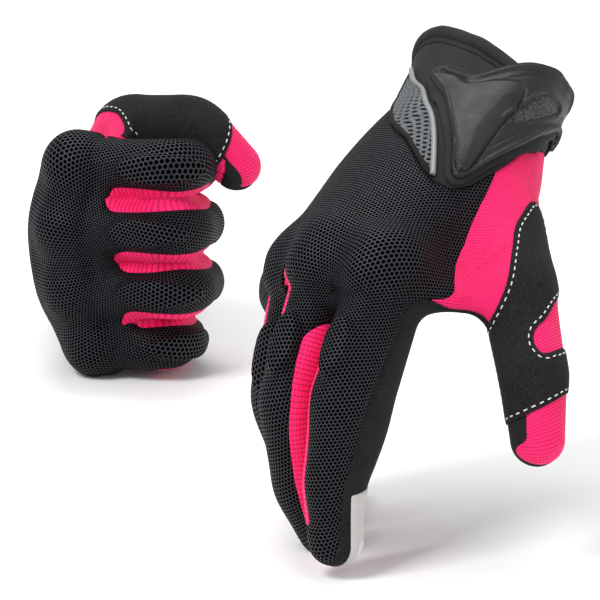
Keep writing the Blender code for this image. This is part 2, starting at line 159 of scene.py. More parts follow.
FIST = {
    "prefix": "fist_",
    "wrist": (-155.2, 207.9, -120.5),
    "pointing": (-0.17, -0.976, 0.139),
    "thumb_side": (0.0, 0.14, 0.99),
    "wrist_bend": (0.0, -6.0),
    "flex": {"index": (80, 96, 44), "middle": (81, 98, 42), "ring": (82, 98, 42),
             "little": (82, 98, 40)},
    "spread": {"index": 1.0, "middle": 0.0, "ring": -1.0, "little": -2.0},
    "cup": {"index": (0, 2.0, -6), "middle": (0, 1.3, -4), "ring": (0, 0.8, -4),
            "little": (0, 1, -5)},
    "arch": 0.0,
    "narrow": (0.0, 0.0, 0.0, 0.0, 0.0),
    "merge": 6.0,
    "slot": 0.2,
    "bay": 0.3,
    "under": 0.0,
    "taper": (60.0, 0.2, 0.2, 0.2, 0.2, 0.2),
    "level": 1.0,
    "shorten": {"index": 10.0, "middle": 7.5, "ring": 6.0, "little": 11.0},
    "patch": 22.0,
    "strips": (4.0, 8.2, 8.0, 8.0, 4.5),
    "starts": (30.0, 18.5, 23.0, 25.0, 34.0),
    "thumb": {"root": (21.0, 16.5, -4.0), "turn": 48.5, "drop": 18.0, "roll": 46.0,
              "flex": (49.0, 60.0)},
}


# ---------------------------------------------------------------- shape of the hand
def unit(vector):
    vector = np.asarray(vector, dtype=float)
    return vector / np.linalg.norm(vector)


def ease(value):
    """Smooth step from 0 to 1."""
    value = np.clip(value, 0.0, 1.0)
    return value * value * (3.0 - 2.0 * value)


def smooth_min(first, second, width):
    """The smaller of two fields, rounded where they meet."""
    share = np.clip(width - np.abs(first - second), 0.0, None) / width
    return np.minimum(first, second) - share * share * width / 4.0


def smooth_max(first, second, width):
    return -smooth_min(-first, -second, width)


def section_at(sections, along):
    """Half widths to the thumb and the little finger, and heights of the back and the palm."""
    columns = list(zip(*sections))
    return [np.interp(along, columns[0], column) for column in columns[1:]]


FAR = 40.0                      # value of a shape's field well away from it
CORNERS = [(a, b, c) for a in (0, 1) for b in (0, 1) for c in (0, 1)]


class Tube:
    """A finger or thumb: a round section along a centre line that bends in one plane.

    Bends are (place along, degrees, length of the bend) and half gives (place, half width)."""

    STEP = 1.5

    def __init__(self, start, forward, back, bends, length, half, flat=1.0, cap=9.0, pad=2.5,
                 under=0.0):
        self.start, self.forward, self.back = np.asarray(start, float), unit(forward), unit(back)
        self.side = np.cross(self.back, self.forward)
        self.length, self.flat, self.half, self.pad = length, flat, half, pad
        self.under = under
        count = int(round((length - cap) / self.STEP))
        self.stops = np.linspace(0.0, length - cap, count + 1)
        fine = np.arange(0.0, length - cap + 0.25, 0.25)
        turn = sum(math.radians(degrees) * ease((fine - at) / span + 0.5)
                   for at, degrees, span in bends)
        ahead = np.concatenate([[0.0], np.cumsum(np.cos(turn))[:-1] * 0.25])
        above = np.concatenate([[0.0], -np.cumsum(np.sin(turn))[:-1] * 0.25])
        self.turns = np.interp(self.stops, fine, turn)
        self.line = np.stack([np.interp(self.stops, fine, ahead),
                              np.interp(self.stops, fine, above)], axis=1)
        places = (self.start + self.line[:, :1] * self.forward + self.line[:, 1:] * self.back)
        reach = max(half_width for _, half_width in half) + 12.0
        self.low, self.high = places.min(axis=0) - reach, places.max(axis=0) + reach

    def measure(self, points):
        """Distance along the tube, then offsets to the side, the back and forwards."""
        offset = points - self.start
        lateral = offset @ self.side
        ahead, above = offset @ self.forward, offset @ self.back
        nearest = np.full(len(points), np.inf)
        along = np.zeros(len(points))
        step = self.stops[1]
        for place in range(len(self.stops) - 1):
            low, high = self.line[place], self.line[place + 1]
            run, rise = high - low
            share = np.clip(((ahead - low[0]) * run + (above - low[1]) * rise)
                            / (run * run + rise * rise), 0.0, 1.0)
            away = (ahead - low[0] - share * run) ** 2 + (above - low[1] - share * rise) ** 2
            closer = away < nearest
            nearest = np.where(closer, away, nearest)
            along = np.where(closer, (place + share) * step, along)
        turn = np.interp(along, self.stops, self.turns)
        ahead = ahead - np.interp(along, self.stops, self.line[:, 0])
        above = above - np.interp(along, self.stops, self.line[:, 1])
        height = ahead * np.sin(turn) + above * np.cos(turn)
        front = ahead * np.cos(turn) - above * np.sin(turn)
        return along, lateral, height, front

    def centre(self, along):
        """The place of the centre line at a distance along it."""
        ahead, above = (np.interp(along, self.stops, self.line[:, axis]) for axis in (0, 1))
        return self.start + ahead * self.forward + above * self.back

    def radius(self, along, lateral, height):
        """Half width of the section, with its swellings on the back."""
        stops, values = zip(*self.half)
        width = np.interp(along, stops, values)
        above = ease(height / 8.0 + 0.3)
        # A padded oval over the first bone, then a slight swelling at each joint.
        pad = np.clip(1.0 - ((along - 33.0) / 13.0) ** 2 - (lateral / 7.0) ** 2, 0.0, 1.0)
        width = width + self.pad * ease(pad * 2.2) * above
        joint = np.exp(-((along - stops[1]) / 8.0) ** 2)
        end = np.exp(-((along - stops[2]) / 6.0) ** 2)
        return width + (0.8 * joint + 0.4 * end) * above

    def field(self, points):
        """Signed distance, then the distance along and the offsets to the side and back."""
        out = [np.full(len(points), value) for value in (FAR, -FAR, 0.0, 0.0)]
        near = np.all((points > self.low) & (points < self.high), axis=1)
        if near.any():
            along, lateral, height, front = self.measure(points[near])
            deep = self.flat + self.under * (1.0 - ease((along - 55.0) / 40.0)) * (height < 0)
            size = np.sqrt(lateral ** 2 + (height / deep) ** 2 + front ** 2)
            found = (size - self.radius(along, lateral, height), along, lateral, height)
            for store, values in zip(out, found):
                store[near] = values
        return out


def triangle_distance(points, corners):
    """Distance from points to a triangle."""
    corners = np.asarray(corners, float)
    edges = np.roll(corners, -1, axis=0) - corners
    normal = unit(np.cross(edges[0], -edges[2]))
    inside = np.ones(len(points), bool)
    nearest = np.full(len(points), np.inf)
    for corner, edge in zip(corners, edges):
        offset = points - corner
        inside &= offset @ np.cross(normal, edge) > 0
        share = np.clip(offset @ edge / (edge @ edge), 0.0, 1.0)
        nearest = np.minimum(nearest, np.linalg.norm(offset - share[:, None] * edge, axis=1))
    flat = np.abs((points - corners[0]) @ normal)
    return np.where(inside, flat, nearest)


class Shape:
    """The smooth body of one glove, before the wrist bends."""

    def __init__(self, pose):
        self.pose = pose
        self.sections = [(along, thumb, little - narrow, back, palm) for
                         (along, thumb, little, back, palm), narrow in
                         zip(SECTIONS, pose["narrow"])]
        self.knuckles = {name: np.asarray(FINGERS[name]["knuckle"], float) + pose["cup"][name]
                         for name in FINGER_ORDER}
        self.tubes = [self.finger_tube(name) for name in FINGER_ORDER]
        self.thumb = self.thumb_tube()
        forward = unit(pose["pointing"])
        side = np.asarray(pose["thumb_side"], dtype=float)
        side = unit(side - forward * side.dot(forward))
        self.axes = np.array([forward, side, np.cross(forward, side)])
        self.extension, self.deviation = (math.radians(value) for value in pose["wrist_bend"])
        index, thumb = self.tubes[0], self.thumb
        self.web = ((30.0, 28.0, -10.0), index.centre(9.0) + (-3.0, 2.0, -1.0),
                    thumb.centre(51.0) + (2.0, 0.0, 0.0))

    def finger_tube(self, name):
        size = FINGERS[name]
        turn = math.radians(self.pose["spread"][name])
        flat = np.array([math.cos(turn), math.sin(turn), 0.0])
        up = np.array([0.0, 0.0, 1.0])
        knuckle, middle, end = self.pose["flex"][name]
        first = math.radians(knuckle)
        forward = math.cos(first) * flat - math.sin(first) * up
        back = math.sin(first) * flat + math.cos(first) * up
        bones = (size["bones"][0] - self.pose["shorten"][name], *size["bones"][1:])
        stops = (0.0, bones[0], bones[0] + bones[1], sum(bones) + 4.0)
        bends = ((stops[1], middle, BEND_LENGTH[0]), (stops[2], end, BEND_LENGTH[1]))
        return Tube(self.knuckles[name], forward, back, bends, stops[3],
                    list(zip(stops, size["half"])), flat=1.06,
                    under=self.pose["under"] if name == "index" else 0.0)

    def thumb_tube(self):
        shape = self.pose["thumb"]
        turn, drop, roll = (math.radians(shape[key]) for key in ("turn", "drop", "roll"))
        forward = np.array([math.cos(drop) * math.cos(turn), math.cos(drop) * math.sin(turn),
                            -math.sin(drop)])
        level = unit(np.array([0.0, 1.0, 0.0]) - forward * forward[1])
        back = math.cos(roll) * level + math.sin(roll) * np.cross(forward, level)
        stops = (0.0, THUMB_BONES[0], THUMB_BONES[0] + THUMB_BONES[1], sum(THUMB_BONES) + 4.0)
        bends = ((stops[1], shape["flex"][0], 14.0), (stops[2], shape["flex"][1], 18.0))
        return Tube(shape["root"], forward, back, bends, stops[3], list(zip(stops, THUMB_HALF)),
                    cap=10.0, pad=0.0)

    def lowered(self, points):
        """Height above the arched middle surface of the hand."""
        share = np.clip(points[:, 0] / HAND_LENGTH, 0.0, 1.0)
        cup = np.where(points[:, 1] > 12.0, 0.0, self.pose["arch"] * share)
        return points[:, 2] - share * (1.5 - (ARCH + cup) * (points[:, 1] - 12.0) ** 2)

    def hand(self, points):
        """Field of the palm, the wrist and the knuckles."""
        along, across = points[:, 0], points[:, 1]
        height = self.lowered(points)
        thumb, little, back, palm = section_at(self.sections, along)
        wide = np.abs(across) / np.where(across > 0, thumb, little) + 1e-6
        tall = np.abs(height) / np.where(height > 0, back, palm) + 1e-6
        size = (wide ** SQUARENESS + tall ** SQUARENESS) ** (1.0 / SQUARENESS)
        slope = np.hypot(wide ** (SQUARENESS - 1) / np.where(across > 0, thumb, little),
                         tall ** (SQUARENESS - 1) / np.where(height > 0, back, palm))
        slope = slope * size ** (1.0 - SQUARENESS)
        tube = (size - 1.0) / slope
        front = along - (92.0 - 0.0042 * (across - 10.0) ** 2)
        body = smooth_max(tube, front, 8.0)
        for name in FINGER_ORDER:
            long, wide, high = ((points - self.knuckles[name] - (0.0, 0.0, 1.0)) / KNUCKLE_DOME).T
            dome = np.sqrt(long ** 2 + wide ** 2 + high ** 2)
            body = smooth_min(body, (dome - 1.0) * 11.0, 8.0)
        return body

    def parts(self, points):
        """Fields of the hand, the fingers and the thumb at some points."""
        return (self.hand(points), [tube.field(points) for tube in self.tubes],
                self.thumb.field(points))

    def value(self, points):
        """Signed distance to the whole glove."""
        hand, fingers, thumb = self.parts(points)
        # The palm stays clear of curled fingertips.
        for field, along, _, _ in fingers:
            hand = np.maximum(hand, -np.where(along > 32.0, field - TOUCH_GAP, FAR))
        # Neighbouring fingers melt together up to the web, and a slot parts them beyond it.
        joined, nearest, first = fingers[0][0], fingers[0][1], fingers[0]
        for second in fingers[1:]:
            along = np.minimum(first[1], second[1])
            merge = self.pose["merge"]
            width = 9.0 * (1.0 - ease((along - 13.0) / 8.0)) + merge
            slot = np.where(along > WEB + 1.0, self.pose["slot"]
                            - 0.5 * np.abs(first[0] - second[0]), -FAR)
            nearest = np.where(second[0] < joined, second[1], nearest)
            joined = np.maximum(smooth_min(joined, second[0], width), slot)
            first = second
        width = 9.0 * (1.0 - ease((nearest - 6.0) / 12.0)) + 0.05
        body = smooth_min(hand, joined, width)
        # The rest stays clear of the thumb's far half, and its root melts into the hand.
        body = np.maximum(body, -np.where(thumb[1] > 52.0, thumb[0] - TOUCH_GAP, FAR))
        width = 15.0 * (1.0 - ease((thumb[1] - 38.0) / 16.0)) + 0.05
        root = smooth_min(body, thumb[0], width)
        # Cloth spans from the root of the thumb to the root of the index finger.
        web = triangle_distance(points, self.web) - 5.0
        distal = np.where(thumb[1] > 62.0, 0.05, 9.0)
        return smooth_min(root, np.where(thumb[1] > 66.0, FAR, web), distal)

    def forearm(self, along):
        """The direction of the hand or forearm at places along it."""
        turn = ease((BEND_START - along) / BEND_SPAN)
        pitch, yaw = self.extension * turn, self.deviation * turn
        forward = np.stack([np.cos(pitch) * np.cos(yaw), np.sin(yaw), -np.sin(pitch)], axis=1)
        return forward / np.linalg.norm(forward, axis=1)[:, None]

    def bend_wrist(self, points):
        """Turn everything behind the wrist with the forearm."""
        points = np.array(points, float)
        step = 0.5
        stops = np.arange(BEND_START, -60.0, -step)
        steps = np.cumsum(self.forearm(stops - 0.5 * step) * step, axis=0)
        line = np.array([BEND_START, 0.0, 0.0]) - np.vstack([np.zeros(3), steps])
        stops = np.append(stops, stops[-1] - step)
        behind = points[:, 0] < BEND_START
        along = points[behind, 0]
        forward = self.forearm(along)
        side = np.cross((0.0, 0.0, 1.0), forward)
        side /= np.linalg.norm(side, axis=1)[:, None]
        up = np.cross(forward, side)
        centre = np.stack([np.interp(-along, -stops, line[:, axis]) for axis in range(3)], axis=1)
        points[behind] = centre + points[behind, 1:2] * side + points[behind, 2:] * up
        return points

    def world(self, points):
        """From the straight hand frame to the world, in millimetres."""
        return np.asarray(self.pose["wrist"]) + self.bend_wrist(points) @ self.axes

    def grid(self):
        """Field values on a regular grid, skipping blocks that the surface can't reach."""
        low = np.min([tube.low for tube in self.tubes + [self.thumb]] + [(-50.0, -50.0, -36.0)],
                     axis=0)
        high = np.max([tube.high for tube in self.tubes + [self.thumb]] + [(100.0, 60.0, 34.0)],
                      axis=0)
        block = 8
        counts = np.ceil((high - low) / VOXEL / block).astype(int)
        size = counts * block
        volume = np.full(size, FAR, np.float32)
        corners = np.argwhere(np.ones(counts, bool)) * block
        centres = low + (corners + 0.5 * (block - 1)) * VOXEL
        values = self.value(centres)
        reach = 0.87 * block * VOXEL + 5.0
        local = np.argwhere(np.ones((block, block, block), bool))
        busy = np.abs(values) < reach
        for corner, value in zip(corners[~busy], values[~busy]):
            a, b, c = corner
            volume[a:a + block, b:b + block, c:c + block] = value
        chosen = corners[busy]
        for start in range(0, len(chosen), 400):
            group = chosen[start:start + 400]
            cells = (group[:, None, :] + local[None]).reshape(-1, 3)
            volume[tuple(cells.T)] = self.value(low + cells * VOXEL)
        return volume, low


def surface_net(volume, low):
    """A mesh of quads along the zero surface of a field on a grid."""
    inside = volume < 0
    cells = [slice(None, -1), slice(1, None)]
    count = sum(inside[cells[a], cells[b], cells[c]].astype(np.int8) for a, b, c in CORNERS)
    active = (count > 0) & (count < 8)
    number = np.full(active.shape, -1, np.int64)
    number[active] = np.arange(active.sum())
    cell = np.argwhere(active)
    total = np.zeros((len(cell), 3))
    crossings = np.zeros(len(cell))
    for first in CORNERS:
        for second in CORNERS:
            if sum(second) - sum(first) != 1 or min(np.subtract(second, first)) < 0:
                continue
            near = volume[tuple((cell + first).T)]
            far = volume[tuple((cell + second).T)]
            crosses = (near < 0) != (far < 0)
            share = np.where(crosses, near / np.where(crosses, near - far, 1.0), 0.0)
            step = np.subtract(second, first)
            total += np.where(crosses[:, None], np.asarray(first) + share[:, None] * step, 0.0)
            crossings += crosses
    points = low + (cell + total / crossings[:, None]) * VOXEL
    quads = []
    for axis in range(3):
        others = [other for other in range(3) if other != axis]
        near = [slice(1, -1)] * 3
        far = [slice(1, -1)] * 3
        near[axis], far[axis] = slice(None, -1), slice(1, None)
        change = inside[tuple(near)] != inside[tuple(far)]
        start = np.argwhere(change)
        place = start.copy()
        for other in others:
            place[:, other] += 1
        around = []
        for first, second in ((-1, -1), (0, -1), (0, 0), (-1, 0)):
            shifted = place.copy()
            shifted[:, others[0]] += first
            shifted[:, others[1]] += second
            around.append(number[tuple(shifted.T)])
        quad = np.stack(around, axis=1)
        flip = inside[tuple(place.T)] == (axis == 1)
        quad[flip] = quad[flip][:, ::-1]
        quads.append(quad)
    return points, np.concatenate(quads)


def read_grid(grids, low, points):
    """Values of some grids at some points, one column for each grid."""
    place = (points - low) / VOXEL
    base = np.clip(np.floor(place).astype(int), 0, np.array(grids[0].shape) - 2)
    part = place - base
    total = np.zeros((len(points), len(grids)))
    for corner in CORNERS:
        weight = np.prod(np.where(corner, part, 1.0 - part), axis=1)
        index = tuple((base + corner).T)
        for column, grid in enumerate(grids):
            total[:, column] += weight * grid[index]
    return total


def settle(shape, points, volume, low, rounds=2):
    """Move points onto the true surface, along the field's slope."""
    slopes = np.gradient(volume, VOXEL)
    for _ in range(rounds):
        slope = read_grid(slopes, low, points)
        value = shape.value(points)
        scale = np.maximum((slope ** 2).sum(axis=1), 0.3)
        move = -(value / scale)[:, None] * slope
        length = np.linalg.norm(move, axis=1)
        move *= np.minimum(1.0, 0.6 / np.maximum(length, 1e-9))[:, None]
        points = points + move
    return points, slope / np.maximum(np.linalg.norm(slope, axis=1), 1e-9)[:, None]


# ---------------------------------------------------------------- cutting along seams
def crossed_faces(faces, value):
    """The faces wholly above zero, then those crossed by a zero line, with flags above it."""
    inside = value[faces] > 0
    count = inside.sum(axis=1)
    crossed = (count > 0) & (count < 3)
    return faces[count == 3], zip(faces[crossed], inside[crossed])


class Cloth:
    """Triangles with columns of values at their corners; a cut interpolates every column."""

    def __init__(self, columns, faces):
        self.columns, self.faces = columns, faces

    def cut(self, name):
        """The part where the named column is above zero."""
        value = self.columns[name]
        whole, crossed = crossed_faces(self.faces, value)
        kept = [whole]
        edges, shares = {}, []
        total = len(value)

        def crossing(first, second):
            key = (min(first, second), max(first, second))
            if key not in edges:
                edges[key] = total + len(shares)
                shares.append((key[0], key[1], value[key[0]] / (value[key[0]] - value[key[1]])))
            return edges[key]

        made = []
        for face, flags in crossed:
            corners = []
            for place in range(3):
                here, there = face[place], face[(place + 1) % 3]
                if flags[place]:
                    corners.append(here)
                if flags[place] != flags[(place + 1) % 3]:
                    corners.append(crossing(here, there))
            made.append(corners[:3])
            if len(corners) == 4:
                made.append([corners[0], corners[2], corners[3]])
        if made:
            kept.append(np.array(made))
        faces = np.concatenate(kept)
        if shares:
            first, second, share = (np.array(part) for part in zip(*shares))
            first, second = first.astype(int), second.astype(int)
            columns = {}
            for key, data in self.columns.items():
                weight = share if data.ndim == 1 else share[:, None]
                columns[key] = np.concatenate([data, data[first] * (1 - weight)
                                               + data[second] * weight])
        else:
            columns = dict(self.columns)
        return Cloth(columns, faces).tidied()

    def halves(self, name):
        """The part where the named column is above zero, then the rest."""
        below = Cloth({**self.columns, "below": -self.columns[name]}, self.faces)
        return self.cut(name), below.cut("below")

    def tidied(self):
        """The same faces, without the points that none of them uses."""
        used, index = np.unique(self.faces, return_inverse=True)
        faces = index.reshape(-1, 3)
        return Cloth({key: data[used] for key, data in self.columns.items()}, faces)

    def keep(self, flags):
        """The faces where a flag per face is set."""
        return Cloth(self.columns, self.faces[flags]).tidied()

    def pieces_above(self, size):
        """Drop loose bits with fewer faces than the size."""
        label = np.arange(len(next(iter(self.columns.values()))))
        while True:
            lowest = label[self.faces].min(axis=1)
            fresh = label.copy()
            for place in range(3):
                np.minimum.at(fresh, self.faces[:, place], lowest)
            fresh = fresh[fresh]
            if (fresh == label).all():
                break
            label = fresh
        _, index, count = np.unique(label[self.faces[:, 0]], return_inverse=True,
                                    return_counts=True)
        return self.keep(count[index] >= size)

    def contour(self, name, level):
        """Chains of points along a level line of a column, with their normals."""
        value = self.columns[name] - level
        data = np.hstack([self.columns["place"], self.columns["normal"]])
        links, points = {}, {}

        def crossing(first, second):
            key = (min(first, second), max(first, second))
            if key not in points:
                share = value[key[0]] / (value[key[0]] - value[key[1]])
                points[key] = data[key[0]] * (1 - share) + data[key[1]] * share
            return key

        for face, flags in crossed_faces(self.faces, value)[1]:
            ends = [crossing(face[place], face[(place + 1) % 3]) for place in range(3)
                    if flags[place] != flags[(place + 1) % 3]]
            links.setdefault(ends[0], []).append(ends[1])
            links.setdefault(ends[1], []).append(ends[0])
        chains = []
        left = set(links)
        while left:
            ends = sorted(key for key in left if len(links[key]) == 1)
            now = ends[0] if ends else min(left)
            chain = []
            while now is not None:
                left.discard(now)
                chain.append(points[now])
                now = next((key for key in links[now] if key in left), None)
            chains.append(np.array(chain))
        return chains


def closed_curve(points, count=12):
    """A smooth closed curve through some points (Catmull-Rom)."""
    points = np.asarray(points, float)
    before, after = np.roll(points, 1, axis=0), np.roll(points, -1, axis=0)
    beyond = np.roll(points, -2, axis=0)
    rows = []
    for share in np.arange(count) / count:
        rows.append(0.5 * (2 * points + (after - before) * share
                           + (2 * before - 5 * points + 4 * after - beyond) * share ** 2
                           + (3 * points - before - 3 * after + beyond) * share ** 3))
    return np.stack(rows, axis=1).reshape(-1, 2)


def faces_out(points, faces, normals):
    """Whether triangles face the same way as the normals, on the whole."""
    turn = points[faces]
    facing = np.cross(turn[:, 1] - turn[:, 0], turn[:, 2] - turn[:, 0])
    return (facing * normals[faces[:, 0]]).sum() >= 0


def inside_curve(places, curve):
    """Signed distance to a closed curve in a plane, above zero inside it."""
    nearest = np.full(len(places), np.inf)
    inside = np.zeros(len(places), bool)
    for start, end in zip(curve, np.roll(curve, -1, axis=0)):
        edge = end - start
        offset = places - start
        share = np.clip(offset @ edge / max(edge @ edge, 1e-9), 0.0, 1.0)
        nearest = np.minimum(nearest, np.hypot(*(offset - share[:, None] * edge).T))
        spans = (start[1] > places[:, 1]) != (end[1] > places[:, 1])
        rise = edge[1] if abs(edge[1]) > 1e-9 else 1e-9
        crosses = places[:, 0] < start[0] + (places[:, 1] - start[1]) * edge[0] / rise
        inside ^= spans & crosses
    return np.where(inside, nearest, -nearest)


# ---------------------------------------------------------------- materials
class Nodes:
    """Short hand for building a material's node tree."""

    def __init__(self, name):
        self.material = bpy.data.materials.new(name)
        self.material.use_nodes = True
        self.tree = self.material.node_tree
        self.shader = self.tree.nodes["Principled BSDF"]

    def add(self, kind, **settings):
        node = self.tree.nodes.new(kind)
        for key, value in settings.items():
            setattr(node, key, value)
        return node

    def link(self, source, target):
        self.tree.links.new(source, target)

    def value(self, socket, given):
        if isinstance(given, bpy.types.NodeSocket):
            self.link(given, socket)
        else:
            socket.default_value = given

    def math(self, operation, *inputs):
        node = self.add("ShaderNodeMath", operation=operation)
        for socket, given in zip(node.inputs, inputs):
            self.value(socket, given)
        return node.outputs[0]

    def vector(self, operation, *inputs):
        node = self.add("ShaderNodeVectorMath", operation=operation)
        for socket, given in zip(node.inputs, inputs):
            self.value(socket, given)
        return node.outputs["Value" if operation == "LENGTH" else "Vector"]

    def noise(self, scale, detail=3.0, where=None):
        node = self.add("ShaderNodeTexNoise")
        node.inputs["Scale"].default_value = scale
        node.inputs["Detail"].default_value = detail
        self.link(where or self.add("ShaderNodeTexCoord").outputs["Object"], node.inputs["Vector"])
        return node.outputs["Fac"]

    def ramp(self, source, low, high, first=0.0, second=1.0):
        node = self.add("ShaderNodeMapRange", interpolation_type="SMOOTHSTEP")
        for socket, given in zip(node.inputs, (source, low, high, first, second)):
            self.value(socket, given)
        return node.outputs[0]

    def mix(self, share, first, second):
        node = self.add("ShaderNodeMix", data_type="RGBA")
        self.value(node.inputs[0], share)
        self.value(node.inputs[6], (*first, 1.0) if isinstance(first, tuple) else first)
        self.value(node.inputs[7], (*second, 1.0) if isinstance(second, tuple) else second)
        return node.outputs[2]

    def mottle(self, source, low, high, dark, light):
        """A colour that turns from dark to light as the source goes from low to high."""
        return self.mix(self.ramp(source, low, high), dark, light)

    def waves(self, across, along, turn):
        """Sine waves over the cloth, one each way."""
        place = self.add("ShaderNodeSeparateXYZ")
        self.link(weave_place(self, across, along), place.inputs[0])
        return [self.math("SINE", self.math("MULTIPLY", place.outputs[axis], turn))
                for axis in (0, 1)]

    def finish(self, colour, roughness, height=None, depth=0.0002, sheen=0.0, specular=0.5):
        self.value(self.shader.inputs["Base Color"],
                   (*colour, 1.0) if isinstance(colour, tuple) else colour)
        self.value(self.shader.inputs["Roughness"], roughness)
        self.shader.inputs["Sheen Weight"].default_value = sheen
        self.shader.inputs["Sheen Roughness"].default_value = 0.45
        self.shader.inputs["Specular IOR Level"].default_value = specular
        if height is not None:
            bump = self.add("ShaderNodeBump")
            bump.inputs["Strength"].default_value = 1.0
            bump.inputs["Distance"].default_value = depth
            self.link(height, bump.inputs["Height"])
            self.link(bump.outputs[0], self.shader.inputs["Normal"])
        return self.material


HEX_PITCH = 1.7320508           # two rows of a hexagonal grid with a pitch of one


def weave_place(nodes, across, along):
    """The cloth's own coordinates, divided by the pitch both ways, in metres, above zero."""
    scale = nodes.vector("DIVIDE", nodes.add("ShaderNodeUVMap", uv_map="cloth").outputs[0],
                         (across, along, 1.0))
    return nodes.vector("ADD", scale, (1000.0, 1732.05, 0.0))


def hex_distance(nodes, place):
    """Distance to the nearest centre of a hexagonal grid with a pitch of one."""
    cell, half = (1.0, HEX_PITCH, 1.0), (0.5, 0.5 * HEX_PITCH, 0.5)
    first = nodes.vector("SUBTRACT", nodes.vector("MODULO", place, cell), half)
    second = nodes.vector("SUBTRACT",
                          nodes.vector("MODULO", nodes.vector("ADD", place, half), cell), half)
    flat = (1.0, 1.0, 0.0)
    lengths = [nodes.vector("LENGTH", nodes.vector("MULTIPLY", part, flat))
               for part in (first, second)]
    return nodes.math("MINIMUM", *lengths)


def air_mesh():
    """Dark mesh: round holes in a hexagonal grid, painted near-black as shade, between raised
    strands with painted glints.
    """
    nodes = Nodes("air_mesh_finish")
    distance = hex_distance(nodes, weave_place(nodes, 0.00142, 0.00160))
    strand = nodes.ramp(distance, 0.30, 0.45)
    fibre = nodes.noise(2600.0, 2.0)
    light = nodes.mottle(nodes.noise(45.0, 2.0), 0.35, 0.7, (0.0070, 0.0075, 0.0112),
                         (0.0128, 0.0136, 0.0190))
    # Light fibre specks on the strands: partly the fibre's own tone, partly painted glints.
    light = nodes.mottle(fibre, 0.4, 0.75, light, (0.040, 0.042, 0.053))
    # The holes are painted near-black: painted shade in the openings.
    colour = nodes.mix(strand, (0.0002, 0.0002, 0.0003), light)
    height = nodes.math("MULTIPLY_ADD", fibre, 0.25, strand)
    shine = nodes.math("MULTIPLY", strand, 0.30)
    nodes.link(shine, nodes.shader.inputs["Specular IOR Level"])
    return nodes.finish(colour, 0.55, height, 0.00035)


def pink_knit(name, across, along):
    """Pink stretch cloth with raised ribs, darker pink in the grooves as painted shade; the pitch
    is given both ways, in metres.
    """
    nodes = Nodes(name)
    wale, rib = (nodes.math("ABSOLUTE", wave) for wave in nodes.waves(across, along, math.pi))
    height = nodes.math("MULTIPLY_ADD", nodes.math("POWER", wale, 0.5), 0.45,
                        nodes.math("POWER", rib, 0.6))
    bright = nodes.mottle(nodes.noise(60.0, 2.0), 0.3, 0.75, (0.90, 0.010, 0.125),
                          (1.0, 0.018, 0.165))
    # Darker pink where the ribs sink: painted shade in the grooves.
    colour = nodes.mottle(height, 0.35, 1.25, (0.40, 0.003, 0.055), bright)
    height = nodes.math("MULTIPLY_ADD", nodes.noise(3000.0, 2.0), 0.2, height)
    return nodes.finish(colour, 0.65, height, 0.00028, sheen=0.05, specular=0.2)


def suede():
    nodes = Nodes("suede_finish")
    nap = nodes.noise(1500.0, 4.0)
    light = nodes.mottle(nodes.noise(70.0, 3.0), 0.3, 0.7, (0.0060, 0.0060, 0.0063),
                         (0.0100, 0.0100, 0.0103))
    colour = nodes.mottle(nap, 0.42, 0.75, light, (0.020, 0.020, 0.021))
    return nodes.finish(colour, 0.93, nap, 0.00012, sheen=0.03, specular=0.15)


def neoprene():
    nodes = Nodes("neoprene_finish")
    weave = nodes.math("MULTIPLY", *nodes.waves(0.0007, 0.0007, 2 * math.pi))
    height = nodes.math("MULTIPLY_ADD", weave, 0.5, nodes.noise(1800.0, 2.0))
    colour = nodes.mottle(nodes.noise(55.0, 3.0), 0.3, 0.7, (0.0070, 0.0070, 0.0075),
                          (0.0125, 0.0125, 0.013))
    return nodes.finish(colour, 0.75, height, 0.00010, sheen=0.03, specular=0.25)


def rubber():
    nodes = Nodes("strap_rubber_finish")
    fine = nodes.noise(1200.0, 3.0)
    colour = nodes.mottle(nodes.noise(80.0, 3.0), 0.3, 0.7, (0.0085, 0.0087, 0.0093),
                          (0.0125, 0.0128, 0.0134))
    rough = nodes.ramp(nodes.noise(160.0, 4.0), 0.3, 0.7, 0.44, 0.56)
    return nodes.finish(colour, rough, fine, 0.00004, specular=0.30)


def grained_rubber():
    nodes = Nodes("strap_inset_finish")
    grain = nodes.ramp(nodes.noise(1400.0, 2.0), 0.42, 0.6)
    colour = nodes.mix(grain, (0.003, 0.003, 0.0035), (0.060, 0.062, 0.066))
    return nodes.finish(colour, 0.5, grain, 0.0004, specular=0.5)


def vent_plastic():
    nodes = Nodes("vent_mesh_finish")
    fibre = nodes.noise(1600.0, 3.0)
    colour = nodes.mottle(fibre, 0.35, 0.7, (0.058, 0.064, 0.068), (0.125, 0.134, 0.139))
    return nodes.finish(colour, 0.6, fibre, 0.00015, specular=0.4)


def piping():
    nodes = Nodes("piping_finish")
    fine = nodes.noise(2200.0, 2.0)
    colour = nodes.mottle(fine, 0.3, 0.7, (0.15, 0.155, 0.16), (0.22, 0.225, 0.23))
    return nodes.finish(colour, 0.42, fine, 0.00005, specular=0.6)


def thread(name, colour):
    nodes = Nodes(name)
    twist = nodes.noise(2600.0, 2.0)
    dark = tuple(0.6 * part for part in colour)
    return nodes.finish(nodes.mottle(twist, 0.3, 0.7, dark, colour), 0.6, twist, 0.0001, sheen=0.1)


def touch_cloth():
    nodes = Nodes("touch_cloth_finish")
    height = nodes.math("MULTIPLY", *nodes.waves(0.0009, 0.0009, 2 * math.pi))
    # Darker grey where the weave sinks: painted shade in its hollows.
    colour = nodes.mottle(height, -0.6, 0.6, (0.42, 0.41, 0.40), (0.62, 0.61, 0.60))
    return nodes.finish(colour, 0.55, height, 0.00012)


